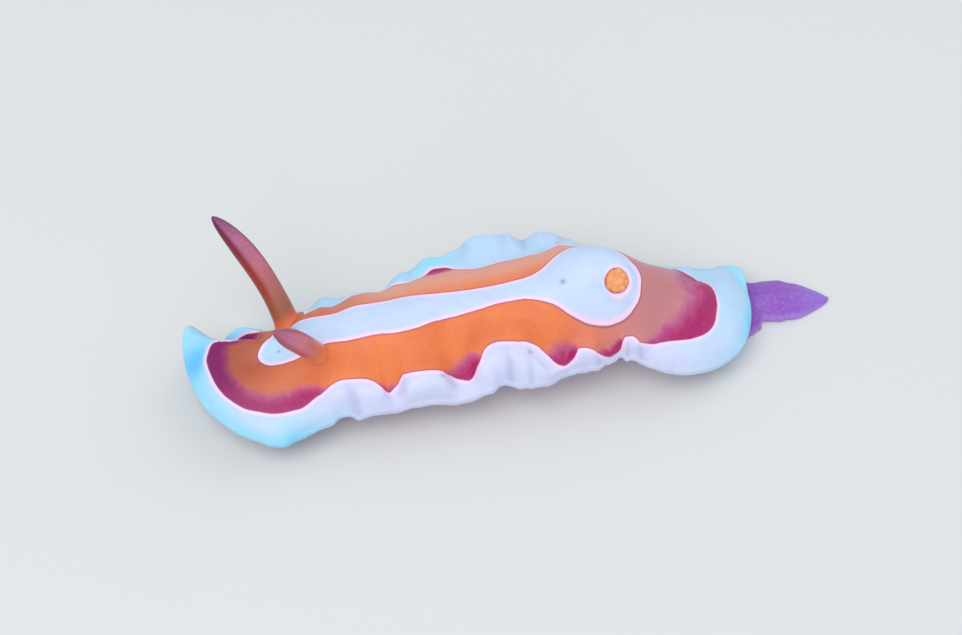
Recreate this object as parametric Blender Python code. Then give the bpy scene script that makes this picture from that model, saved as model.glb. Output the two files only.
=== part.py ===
"""A life-size crawling nudibranch, Verconia norba, with its gills drawn into their pocket.

Sizes are in millimetres. A place on the body is given as s, the distance back along the curved
midline from the front of the mantle, n, the distance to the animal's right, and z, the height
over the floor. place() turns the three into metres.
"""

import math

import bmesh
import bpy
import numpy as np
from mathutils import Vector

MM = 0.001
GAP = 0.3

# Midline seen from above: distance back, heading of the tailward direction in degrees.
MIDLINE_HEADINGS = (
    (0, 30), (3, 22), (6, 14), (10, 12), (13, 7), (15.5, 1), (18, 2), (20, 14), (21.5, 27), (23, 32),
    (23.9, 4), (25, -3), (27, -3),
)
MIDLINE_START = -2.0
MIDLINE_END = 30.0
MIDLINE_STEP = 0.02
ORIGIN_S = 12.45

# Mantle
MANTLE_LENGTH = 23.25
FRONT_EDGE, REAR_EDGE = 0.1, 23.4
FRONT_TIP_N, REAR_TIP_N = 0.35, 1.4
FRONT_TURN = 3.3
REAR_TURN = 3.2
STRAIGHT_FROM, STRAIGHT_TO = 6.6, 17.2
RIM_THICKNESS = 0.45
RIDGE_HEIGHT = (
    (0, 2.3), (2, 2.5), (3, 2.95), (4, 3.42), (6, 3.8), (9, 4.05), (12.4, 4.2), (14.6, 4.4), (16.6, 4.5),
    (18, 4.2), (19.4, 3.25), (21, 2.7), (23.4, 2.2),
)
UNDERSIDE_HEIGHT = ((0, 1.35), (3, 1.55), (6, 1.9), (12, 2), (17, 2), (20, 1.6), (21.5, 1.2), (22.9, 1))
GILL_HUMP = dict(s=16.4, n=0.95, height=1.1, length=2.3, width=1.7)
FRONT_CUT = 7.2
REAR_CUT = 14.3
ROW_SPACING = 0.28
TURN_ROWS = 12

# Each side of the mantle: how far it sweeps round at the front and rear, then by distance back the
# half width and height of its margin, the breadth of its pale band and how far the band rises.
# A fold is (place, half length, band wider, band higher, margin out, margin up).
LEFT = dict(
    turns=(3.3, 4.8), bulge=0.12,
    width=((0, 3.05), (3, 3.0), (5, 2.8), (8, 2.98), (11, 3.05), (14, 3.05), (15.2, 2.55), (17.8, 2.12),
           (20, 2.75), (21.4, 2.95), (23.4, 2.45)),
    height=((0, 1.8), (2, 1.5), (5, 1.65), (8, 1.85), (12, 2.0), (15, 2.2), (17.5, 2.2), (19.5, 1.7),
            (21, 1.45), (23.4, 1.35)),
    band=((0, 0.75), (2, 0.8), (3, 0.85), (5, 0.85), (8, 0.7), (12, 0.8), (15, 0.45), (17, 0.45), (19, 0.95),
          (21, 1.2), (23.4, 1.75)),
    rise=((0, 0.7), (3, 0.9), (5, 1.0), (8, 0.8), (12, 0.75), (15, 0.5), (17.5, 0.6), (19.5, 0.9),
          (22.9, 1.1)),
    folds=((2.25, 0.9, 0, 0, 0.15, 0), (5.5, 0.6, 0, 0, -0.15, 0.1), (6.1, 1.5, 0.35, 0.3, 0.05, 0.1),
           (7.65, 0.5, -0.15, -0.4, 0, 0), (9.0, 1.35, 0.1, 0.45, 0, 0.1), (10.2, 1.2, 0, 0, 0.08, -0.1),
           (10.45, 0.8, -0.15, -0.4, 0, 0), (12.25, 0.6, 0, 0, -0.25, 0.1), (12.5, 1.9, 0.75, 0.6, 0, 0.1),
           (15.85, 0.85, 0.3, 0.5, 0.1, 0.1), (16.9, 0.6, 0, 0, -0.1, 0.05),
           (17.5, 0.8, 0.15, 0.4, -0.1, 0.2)),
)
RIGHT = dict(
    turns=(1.25, 0.4), bulge=0.0,
    width=((0, 3.0), (1.1, 3.2), (1.8, 2.75), (3.4, 2.55), (4.4, 2.75), (6, 2.75), (8, 2.5), (9, 2.85),
           (10, 3.2), (12.4, 3.9), (14.6, 3.8), (16.5, 3.3), (18.5, 2.7), (20.5, 2.4), (22.2, 2.1),
           (23.4, 1.95)),
    height=((0, 1.9), (0.9, 2.4), (1.35, 1.65), (1.8, 1.05), (2.2, 1.5), (2.6, 1.8), (3.0, 1.5), (3.5, 0.85),
            (4.3, 0.9), (5.0, 1.2), (5.8, 2.1), (6.8, 1.7), (7.75, 1.65), (8.65, 2.6), (10, 2.85),
            (12.4, 2.9), (14.6, 2.85), (15.8, 2.4), (17, 1.9), (18.6, 1.7), (19.8, 2.0), (21, 1.9),
            (22, 1.55), (22.5, 1.3), (23.4, 1.2)),
    band=((0, 0.8), (1.1, 1.25), (2, 1.2), (3.4, 1.0), (5, 0.85), (6.5, 0.95), (8, 0.75), (9, 0.8),
          (10, 1.0), (12, 1.6), (15, 1.1), (17, 0.9), (19, 0.6), (20.5, 0.7), (21.6, 1.2), (23.4, 1.85)),
    rise=((0, 0.7), (0.9, 0), (1.4, -0.1), (1.8, 0.25), (2.3, 0.45), (2.8, 0.6), (3.4, 1.0), (4.0, 1.5),
          (4.6, 1.65), (5.2, 1.3), (5.8, 0.6), (7.0, 1.7), (7.8, 1.5), (8.6, 0.4), (9.2, 0.2), (12, 0.2),
          (15, 0.4), (17, 1.0), (18.3, 0.65), (19.2, 0.5), (20.5, 0.6), (22.9, 0.9)),
    folds=((1.15, 0.45, 0, -0.4, 0, 0), (9.45, 0.4, 0, 0, -0.1, -0.12), (10.5, 0.4, 0, 0, -0.05, -0.1),
           (11.0, 0.8, 0, 0, -0.2, -0.1), (13.7, 0.5, 0, -0.05, -0.1, -0.25)),
)
FOLD_FLATNESS = 3
# Rows of the mantle's top from the ridge out: shares of the way where its guide points lie.
SHOULDER, BAND, MID_BAND = 0.34, 0.62, 0.81
SHOULDER_REACH = 0.55
RIDGE_ENDS = (2.8, 20.1)
RIDGE_AFTER_TURNS = (3.7, 19.3)
CROWN_ROUNDNESS = 2.1
BULGE_PER_FOLD = 0.3
TOP_COLUMNS = (0.17, 0.34, 0.48, 0.62, 0.72, 0.81, 0.91, 1.0)
UNDER_COLUMNS = (1.0, 0.85, 0.62, 0.34)
LIP_REACH = 0.07
UNDER_FLAT = 0.45
UNDER_INSET = 0.02
EDGE_DROOP = 1.6
MIDDLE_OUT = 0.09
MIDDLE_OUT_PER_BULGE = 0.5

# Rhinophores: foot on the mantle, direction of the tip and how far the axis bows out half way there.
RHINOPHORES = dict(
    rhinophore_right=dict(s=4.25, n=1.65, axis=(-2.68, 2.15, 4.2), bend=(0.28, 0.1, 0.07), length=5.5),
    rhinophore_left=dict(s=4.92, n=-0.82, axis=(-1.22, -1.83, 4.15), bend=(0.02, 0.06, 0.04), length=4.72),
)
STALK_RADIUS = 0.48
CLUB_RADIUS = 0.47
# Radius by share of the length: stalk, club, then a long point.
RHINOPHORE_SHAPE = (
    (0, STALK_RADIUS), (0.3, STALK_RADIUS * 0.97), (0.5, CLUB_RADIUS), (0.64, CLUB_RADIUS * 0.94),
    (0.78, CLUB_RADIUS * 0.7), (0.92, CLUB_RADIUS * 0.38), (1, CLUB_RADIUS * 0.1),
)
STALK_RINGS = (0, 0.08, 0.17, 0.26)
LAMELLAE_FROM, LAMELLAE_TO = 0.34, 0.93
LAMELLAE = 12
LAMELLA_DEPTH = 0.04
RHINOPHORE_SIDES = 14
SHEATH_RADIUS = 1.05
SHEATH_RISE = 0.2
SHEATH_FLARE = 0.12
SHEATH_ROOT = 0.5
SOCKET_DEPTH = 0.4
ROOT_DEPTH = 0.1

# Gills
GILL = dict(s=17.0, n=-0.27)
GILL_CORE_RADIUS = 0.36
GILL_TIPS = 9
GILL_RING_RADIUS = 0.33
GILL_TIP_RADIUS = 0.14
GILL_TIP_LENGTH = 0.34
GILL_TIP_LEAN = 0.25
POCKET_RADIUS = 0.8
POCKET_RIM = 1.08
POCKET_DEPTH = 0.6
POCKET_RISE = 0.14

# Body under the mantle
AXIS_SHIFT = ((2, 0), (12, 0), (15, 0.2), (17.5, 0.6), (20, 0.5), (22, 0.36), (25.2, 0.42), (26.6, 0.62))
FOOT_TOP = 0.5
FOOT_WIDTH = (
    (3.3, 1.3), (4.5, 1.9), (9, 1.95), (12, 1.85), (14, 1.85), (18, 1.6), (21, 1.4), (22.6, 1.35),
    (23.15, 1.3), (23.75, 1.0), (24.8, 0.96), (25.4, 0.8), (25.9, 0.56), (26.3, 0.33), (26.6, 0.08),
)
TAIL_HEIGHT = ((21, 0.6), (22.4, 0.5), (23.2, 0.5), (24.1, 0.8), (25.3, 0.66), (26.6, 0.3))
TAIL_ROWS = 18
FOOT_PIECES = dict(foot_front=(3.35, 9.3), foot_middle=(9.6, 15.6), foot_rear=(15.9, 20.8))
TAIL_PIECE = (21.1, 26.6)
TRUNK_WIDTH = ((3.35, 1.1), (4.6, 1.55), (9, 1.7), (14, 1.65), (18, 1.4), (20.2, 0.95))
TRUNK_PIECES = dict(trunk_front=(3.35, 11.3), trunk_rear=(11.6, 20.2))
HEAD_LENGTH = (0.95, 3.05)
HEAD_WIDTH = 0.85
HEAD_BOTTOM, HEAD_TOP = 0.35, 1.15
HEAD_BLUNTNESS = 2.4
HEAD_FRONT = 0.4
HEAD_SPREAD = 0.15
MOUTH = dict(width=0.16, height=0.46, depth=0.24)
TENTACLE = dict(s=1.7, n=1.2, z=0.75, length=0.9, radius=0.25, axis=(-0.8, 0.3, -0.1))

COLOURS = dict(
    mantle=(0.88, 0.47, 0.3), rhinophore=(0.55, 0.13, 0.2), gill=(0.92, 0.55, 0.22),
    flank=(0.86, 0.55, 0.45), foot=(0.66, 0.45, 0.8), head=(0.86, 0.6, 0.55),
)


def smooth_curve(points):
    """Curve through points that never overshoots between them."""
    x, y = np.array(points, float).T
    step = np.diff(x)
    rise = np.diff(y) / step
    slope = np.concatenate([rise[:1], np.zeros(len(x) - 2), rise[-1:]])
    for i in range(1, len(x) - 1):
        if rise[i - 1] * rise[i] > 0:
            before, after = 2 * step[i] + step[i - 1], step[i] + 2 * step[i - 1]
            slope[i] = (before + after) / (before / rise[i - 1] + after / rise[i])

    def at(value):
        value = np.clip(value, x[0], x[-1])
        i = np.clip(np.searchsorted(x, value, side="right") - 1, 0, len(step) - 1)
        t = (value - x[i]) / step[i]
        return hermite(t, y[i], slope[i] * step[i], y[i + 1], slope[i + 1] * step[i])

    return at


def hermite(t, start, start_slope, end, end_slope):
    return (
        (2 * t**3 - 3 * t**2 + 1) * start + (t**3 - 2 * t**2 + t) * start_slope
        + (3 * t**2 - 2 * t**3) * end + (t**3 - t**2) * end_slope
    )


def smooth_step(t):
    t = np.clip(t, 0, 1)
    return t * t * (3 - 2 * t)


HEADING = smooth_curve(MIDLINE_HEADINGS)
MIDLINE_S = np.arange(MIDLINE_START, MIDLINE_END, MIDLINE_STEP)


def trace_midline():
    """x and y along the midline, with the origin at ORIGIN_S."""
    turn = np.radians(HEADING(MIDLINE_S[:-1]))
    x = np.concatenate([[0], np.cumsum(np.cos(turn) * MIDLINE_STEP)])
    y = np.concatenate([[0], np.cumsum(np.sin(turn) * MIDLINE_STEP)])
    return x - np.interp(ORIGIN_S, MIDLINE_S, x), y - np.interp(ORIGIN_S, MIDLINE_S, y)


MIDLINE_X, MIDLINE_Y = trace_midline()


def place(s, n, z):
    """World point in metres of a place on the body."""
    turn = np.radians(HEADING(s))
    x = np.interp(s, MIDLINE_S, MIDLINE_X) - n * np.sin(turn)
    y = np.interp(s, MIDLINE_S, MIDLINE_Y) + n * np.cos(turn)
    return np.stack([x, y, z + 0 * x], axis=-1) * MM


def fold_shape(s, middle, half):
    return (1 - np.abs(np.clip((s - middle) / half, -1, 1)) ** FOLD_FLATNESS) ** 2


def row_places(u, first, after_turn, before_turn, last):
    """Distance back of each row, straight across the body between the two turns."""
    rows = (0, FRONT_TURN, STRAIGHT_FROM, STRAIGHT_TO, MANTLE_LENGTH - REAR_TURN, MANTLE_LENGTH)
    places = (first, after_turn, STRAIGHT_FROM, STRAIGHT_TO, before_turn, last)
    return smooth_curve(list(zip(rows, places)))(u)


def margin(side, sign, u):
    """Where one side's margin and the edge of its pale band run, for each row u of the mantle."""
    front_turn, rear_turn = side["turns"]
    s = row_places(u, FRONT_EDGE, front_turn, MANTLE_LENGTH - rear_turn, REAR_EDGE)
    front = np.clip(u / FRONT_TURN, 0, 1)
    rear = np.clip((MANTLE_LENGTH - u) / REAR_TURN, 0, 1)
    turn = np.sqrt((1 - (1 - front) ** 2) * (1 - (1 - rear) ** 2))
    line = {key: smooth_curve(side[key])(s) for key in ("width", "height", "band", "rise")}
    wider, higher, out, up = (
        sum(fold[k] * fold_shape(s, fold[0], fold[1]) for fold in side["folds"]) for k in (2, 3, 4, 5)
    )
    tip = np.where(u < MANTLE_LENGTH / 2, FRONT_TIP_N, REAR_TIP_N)
    return dict(
        turn=turn, s=s, n=sign * line["width"] * turn + tip * (1 - turn), out=sign * out * turn,
        z=line["height"], up=up, band=line["band"] + wider, band_z=line["height"] + line["rise"] + higher,
        bulge=side["bulge"] + BULGE_PER_FOLD * higher,
    )


def hump(s, n):
    """Rise of the back over the gills."""
    along = (s - GILL_HUMP["s"]) / GILL_HUMP["length"]
    across = (n - GILL_HUMP["n"]) / GILL_HUMP["width"]
    return GILL_HUMP["height"] * np.exp(-(along**2) - across**2)


def guide_points(side, other, sign, u):
    """Ridge, shoulder, inner edge of the band, middle of the band and margin, for each row u."""
    here, across = margin(side, sign, u), margin(other, -sign, u)
    share = 0.5 + 0.5 * here["turn"]
    for key in ("z", "up", "band", "band_z", "bulge"):
        here[key] = here[key] * share + across[key] * (1 - share)
    ridge_s = row_places(u, RIDGE_ENDS[0], *RIDGE_AFTER_TURNS, RIDGE_ENDS[1])
    ridge = np.stack([ridge_s, 0 * u, smooth_curve(RIDGE_HEIGHT)(ridge_s)], axis=1)
    edge = np.stack([here["s"], here["n"], here["z"]], axis=1)
    inward = ridge[:, :2] - edge[:, :2]
    inward = inward / np.linalg.norm(inward, axis=1, keepdims=True)
    band = np.column_stack([edge[:, :2] + inward * here["band"][:, None], here["band_z"]])
    edge[:, 1] += here["out"]
    edge[:, 2] += here["up"]
    middle = (band + edge) / 2
    out = MIDDLE_OUT + MIDDLE_OUT_PER_BULGE * here["bulge"]
    middle[:, :2] -= inward * out[:, None]
    middle[:, 2] += here["bulge"]
    shoulder = ridge + (band - ridge) * SHOULDER_REACH
    fall = 1 - SHOULDER_REACH**CROWN_ROUNDNESS
    shoulder[:, 2] = band[:, 2] + (ridge[:, 2] - band[:, 2]) * fall
    return np.stack([ridge, shoulder, band, middle, edge], axis=1)


def top_surface(guides, share):
    """Points of the mantle's top at this share of the way from the ridge to the margin."""
    at = np.array([0, SHOULDER, BAND, MID_BAND, 1])
    i = min(int(np.searchsorted(at, share, side="right")) - 1, len(at) - 2)
    slopes = []
    for k in (i, i + 1):
        if k == 0:
            slope = (guides[:, 1] - guides[:, 0]) / at[1]
            slope = slope * (1, 1, 0)
        elif k == len(at) - 1:
            slope = EDGE_DROOP * (guides[:, k] - guides[:, k - 1]) / (at[k] - at[k - 1])
            slope = slope - (EDGE_DROOP - 1) * (guides[:, k] - guides[:, k - 2]) / (at[k] - at[k - 2])
        else:
            slope = (guides[:, k + 1] - guides[:, k - 1]) / (at[k + 1] - at[k - 1])
        slopes.append(slope * (at[i + 1] - at[i]))
    t = (share - at[i]) / (at[i + 1] - at[i])
    points = hermite(t, guides[:, i], slopes[0], guides[:, i + 1], slopes[1])
    points[:, 2] += hump(points[:, 0], points[:, 1])
    return points


def under_surface(guides, share):
    """Points of the mantle's underside below top_surface at the same share."""
    points = top_surface(guides, share)
    points[:, :2] += (guides[:, 0, :2] - points[:, :2]) * UNDER_INSET
    level = smooth_curve(UNDERSIDE_HEIGHT)(points[:, 0])
    rim = guides[:, -1, 2] - RIM_THICKNESS
    points[:, 2] = level + (rim - level) * smooth_step((share - UNDER_FLAT) / (1 - UNDER_FLAT))
    return points


def lip(guides):
    """Outermost points of the rounded margin."""
    outward = guides[:, -1, :2] - guides[:, 0, :2]
    outward = outward / np.linalg.norm(outward, axis=1, keepdims=True)
    edge = guides[:, -1]
    return np.column_stack([edge[:, :2] + outward * LIP_REACH, edge[:, 2] - RIM_THICKNESS / 2])


def mantle_rings(u):
    """Closed cross-sections of the mantle, one for each row u, as s, n and z."""
    left, right = guide_points(LEFT, RIGHT, -1, u), guide_points(RIGHT, LEFT, 1, u)
    ring = [top_surface(left, share) for share in TOP_COLUMNS[::-1]]
    ring.append(top_surface(left, 0))
    ring += [top_surface(right, share) for share in TOP_COLUMNS]
    ring.append(lip(right))
    ring += [under_surface(right, share) for share in UNDER_COLUMNS]
    ring.append(under_surface(right, 0))
    ring += [under_surface(left, share) for share in UNDER_COLUMNS[::-1]]
    ring.append(lip(left))
    return np.stack(ring, axis=1)


def mantle_rows(start, end):
    """Row places from start to end, closer together where the mantle sweeps round."""
    quarter = np.linspace(0, math.pi / 2, TURN_ROWS + 1)
    front = FRONT_TURN * (1 - np.cos(quarter))
    rear = MANTLE_LENGTH - REAR_TURN * (1 - np.cos(quarter[::-1]))
    low, high = max(start, FRONT_TURN), min(end, MANTLE_LENGTH - REAR_TURN)
    middle = np.linspace(low, high, round((high - low) / ROW_SPACING) + 1)
    rows = [middle]
    if start == 0:
        rows.insert(0, front[:-1])
    if end == MANTLE_LENGTH:
        rows.append(rear[1:])
    return np.concatenate(rows)


def surface_height(s, n):
    """Height of the mantle's top at a place on it."""
    side, other, sign = (LEFT, RIGHT, -1) if n < 0 else (RIGHT, LEFT, 1)
    rows = np.arange(max(0.4, s - 2.5), min(MANTLE_LENGTH, s + 2.5), 0.1)
    guides = guide_points(side, other, sign, rows)
    points = np.concatenate([top_surface(guides, share) for share in np.linspace(0, 1, 25)])
    nearest = np.argsort((points[:, 0] - s) ** 2 + (points[:, 1] - n) ** 2)[:4]
    return points[nearest, 2].mean()


def surface_frame(s, n, reach=0.5):
    """World point on the mantle's top and the outward direction there."""
    here = Vector(place(s, n, surface_height(s, n)))
    back = Vector(place(s + reach, n, surface_height(s + reach, n))) - here
    right = Vector(place(s, n + reach, surface_height(s, n + reach))) - here
    return here, back.cross(right).normalized()


def clear_scene():
    for obj in list(bpy.data.objects):
        bpy.data.objects.remove(obj, do_unlink=True)


def material(name, roughness=0.35):
    made = bpy.data.materials.get(name)
    if made is None:
        made = bpy.data.materials.new(name)
        made.use_nodes = True
        shader = made.node_tree.nodes["Principled BSDF"]
        shader.inputs["Base Color"].default_value = (*COLOURS[name], 1)
        shader.inputs["Roughness"].default_value = roughness
        shader.inputs["Metallic"].default_value = 0
    return made


def add_object(name, slot, mesh_builder):
    """Object in the scene from a bmesh, closed and facing out."""
    bmesh.ops.remove_doubles(mesh_builder, verts=mesh_builder.verts, dist=0.0005 * MM)
    bmesh.ops.dissolve_degenerate(mesh_builder, edges=mesh_builder.edges, dist=0.0005 * MM)
    bmesh.ops.triangulate(mesh_builder, faces=mesh_builder.faces)
    bmesh.ops.recalc_face_normals(mesh_builder, faces=mesh_builder.faces)
    mesh = bpy.data.meshes.new(name)
    mesh_builder.to_mesh(mesh)
    mesh_builder.free()
    mesh.materials.append(material(slot))
    mesh.shade_smooth()
    mesh.set_sharp_from_angle(angle=math.radians(40))
    obj = bpy.data.objects.new(name, mesh)
    bpy.context.collection.objects.link(obj)
    return obj


def loft(builder, rings):
    """Skin over closed rings of world points, with both ends filled."""
    rows = [[builder.verts.new(point) for point in ring] for ring in rings]
    count = len(rows[0])
    for first, second in zip(rows, rows[1:]):
        for k in range(count):
            builder.faces.new((first[k], first[(k + 1) % count], second[(k + 1) % count], second[k]))
    builder.faces.new(rows[0][::-1])
    builder.faces.new(rows[-1])


def mantle(name, start, end):
    rings = mantle_rings(mantle_rows(start, end))
    builder = bmesh.new()
    rows = [[builder.verts.new(point) for point in ring] for ring in place(*np.moveaxis(rings, -1, 0))]
    count = len(rows[0])
    for first, second in zip(rows, rows[1:]):
        for k in range(count):
            builder.faces.new((first[k], first[(k + 1) % count], second[(k + 1) % count], second[k]))
    if start > 0:
        builder.faces.new(rows[0][::-1])
    if end < MANTLE_LENGTH:
        builder.faces.new(rows[-1])
    return add_object(name, "mantle", builder)


def turned_rings(base, axis, profile, sides, bend=(0, 0, 0)):
    """Rings round an axis from (distance along, radius) pairs, bowed out by bend at mid length."""
    side = axis.cross(Vector((0, 1, 0))).normalized()
    other = axis.cross(side).normalized()
    rings = []
    for distance, radius in profile:
        share = max(distance, 0) / profile[-1][0]
        centre = base + (axis * distance + Vector(bend) * 4 * share * (1 - share)) * MM
        turns = [2 * math.pi * k / sides for k in range(sides)]
        rings.append([centre + (side * math.cos(t) + other * math.sin(t)) * radius * MM for t in turns])
    return rings


def turned(name, slot, base, axis, profile, sides=20, bend=(0, 0, 0)):
    builder = bmesh.new()
    loft(builder, turned_rings(base, axis, profile, sides, bend))
    return add_object(name, slot, builder)


def combine(target, others, operation):
    """Apply one Boolean with closed objects, remove them, and keep the largest surface left."""
    pieces = bpy.data.collections.new("pieces")
    for other in others:
        pieces.objects.link(other)
    modifier = target.modifiers.new(operation.title(), "BOOLEAN")
    modifier.operation = operation
    modifier.operand_type = "COLLECTION"
    modifier.collection = pieces
    modifier.solver = "MANIFOLD"
    graph = bpy.context.evaluated_depsgraph_get()
    made = bpy.data.meshes.new_from_object(target.evaluated_get(graph))
    target.modifiers.clear()
    target.data = made
    for other in others:
        bpy.data.objects.remove(other, do_unlink=True)
    bpy.data.collections.remove(pieces)
    keep_largest(made)


def keep_largest(mesh):
    """Delete every loose surface but the one with the most faces."""
    builder = bmesh.new()
    builder.from_mesh(mesh)
    unseen, islands = set(builder.verts), []
    while unseen:
        island, edge_of_island = set(), [unseen.pop()]
        while edge_of_island:
            vertex = edge_of_island.pop()
            island.add(vertex)
            for edge in vertex.link_edges:
                other = edge.other_vert(vertex)
                if other in unseen:
                    unseen.remove(other)
                    edge_of_island.append(other)
        islands.append(island)
    largest = max(islands, key=len)
    bmesh.ops.delete(builder, geom=[v for v in builder.verts if v not in largest])
    builder.to_mesh(mesh)
    builder.free()


def socket(body, base, axis, bore, rim, rise, depth):
    """Raised rim on the mantle with a round hole sunk in it."""
    sheath = [(-SHEATH_ROOT, rim + SHEATH_FLARE), (0, rim), (rise * 0.7, rim - 0.08), (rise, rim - 0.2)]
    combine(body, [turned("sheath", "mantle", base, axis, sheath)], "UNION")
    combine(body, [turned("bore", "mantle", base, axis, [(-depth, bore), (rise + 1, bore)])], "DIFFERENCE")


def rhinophore_profile(length):
    """Stalk, club with stacked leaves, and blunt tip, as (distance along, radius)."""
    swell = smooth_curve(RHINOPHORE_SHAPE)
    profile = [(t * length, float(swell(t))) for t in STALK_RINGS]
    profile[0] = (-ROOT_DEPTH, STALK_RADIUS)
    for k in range(LAMELLAE):
        for part, depth in ((0, LAMELLA_DEPTH), (0.45, 0)):
            t = LAMELLAE_FROM + (LAMELLAE_TO - LAMELLAE_FROM) * (k + part) / LAMELLAE
            profile.append((t * length, float(swell(t)) - depth))
    for t in (0.955, 0.985, 1):
        profile.append((t * length, float(swell(t))))
    return profile


def rhinophore(name, body, size):
    base, _ = surface_frame(size["s"], size["n"])
    axis = Vector(size["axis"]).normalized()
    socket(body, base, axis, STALK_RADIUS + GAP, SHEATH_RADIUS, SHEATH_RISE, SOCKET_DEPTH)
    profile = rhinophore_profile(size["length"])
    turned(name, "rhinophore", base, axis, profile, RHINOPHORE_SIDES, size["bend"])


def gills(body):
    """Ring of short gill tips drawn into their pocket."""
    base, axis = surface_frame(GILL["s"], GILL["n"])
    socket(body, base, axis, POCKET_RADIUS, POCKET_RIM, POCKET_RISE, POCKET_DEPTH)
    floor = GAP - POCKET_DEPTH
    core = [(floor, GILL_CORE_RADIUS), (0.05, GILL_CORE_RADIUS), (0.14, GILL_CORE_RADIUS * 0.6)]
    tuft = turned("gill_tuft", "gill", base, axis, core)
    profile = [(-0.2, GILL_TIP_RADIUS), (GILL_TIP_LENGTH * 0.6, GILL_TIP_RADIUS * 0.85),
               (GILL_TIP_LENGTH, GILL_TIP_RADIUS * 0.3)]
    tips = []
    for root in turned_rings(base, axis, [(0, GILL_RING_RADIUS), (1, 0)], GILL_TIPS)[0]:
        lean = (axis + (base - root).normalized() * GILL_TIP_LEAN).normalized()
        tips.append(turned("tip", "gill", root, lean, profile, 8))
    combine(tuft, tips, "UNION")


def foot_ring(s, half, top, edge):
    """Cross-section of the foot: flat sole, thin rounded margin and a low crown."""
    section = ((-0.86, 0), (0.86, 0), (1, 0.35 * edge), (0.94, 0.8 * edge), (0.72, edge), (0.4, top),
               (0, top), (-0.4, top), (-0.72, edge), (-0.94, 0.8 * edge), (-1, 0.35 * edge))
    shift = smooth_curve(AXIS_SHIFT)(s)
    return [place(s, shift + half * across, z) for across, z in section]


def foot(name, start, end):
    rows = np.linspace(start, end, round((end - start) / 0.6) + 1)
    widths = smooth_curve(FOOT_WIDTH)(rows)
    builder = bmesh.new()
    loft(builder, [foot_ring(s, w, FOOT_TOP, FOOT_TOP * 0.9) for s, w in zip(rows, widths)])
    return add_object(name, "foot", builder)


def tail():
    start, end = TAIL_PIECE
    rows = start + (end - start) * np.sin(np.linspace(0, math.pi / 2, TAIL_ROWS))
    widths, heights = smooth_curve(FOOT_WIDTH)(rows), smooth_curve(TAIL_HEIGHT)(rows)
    builder = bmesh.new()
    loft(builder, [foot_ring(s, w, h, h * 0.6) for s, w, h in zip(rows, widths, heights)])
    return add_object("tail", "foot", builder)


def trunk(name, start, end):
    """Length of the body wall between the foot and the mantle."""
    rows = np.linspace(start, end, round((end - start) / 0.7) + 1)
    rings = []
    for s in rows:
        half = smooth_curve(TRUNK_WIDTH)(s)
        low, high = FOOT_TOP + GAP, smooth_curve(UNDERSIDE_HEIGHT)(s) - GAP
        middle, shift = (low + high) / 2, smooth_curve(AXIS_SHIFT)(s)
        section = ((-0.92, low), (0.92, low), (1, middle), (0.92, high), (-0.92, high), (-1, middle))
        rings.append([place(s, shift + half * across, z) for across, z in section])
    builder = bmesh.new()
    loft(builder, rings)
    return add_object(name, "flank", builder)


def head():
    """Snout with a slit of a mouth between its lips."""
    start, end = HEAD_LENGTH
    middle, half_height = (HEAD_BOTTOM + HEAD_TOP) / 2, (HEAD_TOP - HEAD_BOTTOM) / 2
    turns = [2 * math.pi * k / 16 for k in range(16)]
    rings = []
    for t in np.linspace(0, 1, 9):
        swell = math.sqrt(max(1 - (1 - t) ** HEAD_BLUNTNESS, 0)) * (1 - HEAD_FRONT) + HEAD_FRONT
        s = start + (end - start) * t
        half = HEAD_WIDTH * swell * (1 + HEAD_SPREAD * t)
        rise = half_height * swell
        rings.append([place(s, half * math.cos(a), middle + rise * math.sin(a)) for a in turns])
    builder = bmesh.new()
    loft(builder, rings)
    snout = add_object("head", "head", builder)
    mouth = bmesh.new()
    bmesh.ops.create_uvsphere(mouth, u_segments=12, v_segments=8, radius=MM)
    slit = add_object("mouth", "head", mouth)
    slit.scale = (MOUTH["depth"], MOUTH["width"] / 2, MOUTH["height"] / 2)
    slit.location = place(start, 0, middle)
    slit.rotation_euler.z = math.radians(HEADING(start))
    bpy.context.view_layer.update()
    combine(snout, [slit], "DIFFERENCE")


def oral_tentacle(name, sign):
    base = Vector(place(TENTACLE["s"], sign * TENTACLE["n"], TENTACLE["z"]))
    forward, outward, up = TENTACLE["axis"]
    tip = Vector(place(TENTACLE["s"] + forward, sign * (TENTACLE["n"] + outward), TENTACLE["z"] + up))
    radius, length = TENTACLE["radius"], TENTACLE["length"]
    profile = [(0, radius * 0.8), (0.1, radius), (0.5 * length, radius * 0.9), (0.85 * length, radius * 0.7),
               (length, radius * 0.3)]
    return turned(name, "head", base, (tip - base).normalized(), profile, 10)


def build():
    clear_scene()
    front = mantle("mantle_front", 0, FRONT_CUT - GAP / 2)
    mantle("mantle_middle", FRONT_CUT + GAP / 2, REAR_CUT - GAP / 2)
    rear = mantle("mantle_rear", REAR_CUT + GAP / 2, MANTLE_LENGTH)
    for name, size in RHINOPHORES.items():
        rhinophore(name, front, size)
    gills(rear)
    for name, (start, end) in FOOT_PIECES.items():
        foot(name, start, end)
    tail()
    for name, (start, end) in TRUNK_PIECES.items():
        trunk(name, start, end)
    head()
    oral_tentacle("oral_tentacle_left", -1)
    oral_tentacle("oral_tentacle_right", 1)


build()
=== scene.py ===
import math

import bmesh
import bpy
import numpy as np
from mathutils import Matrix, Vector
from mathutils.kdtree import KDTree


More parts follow.
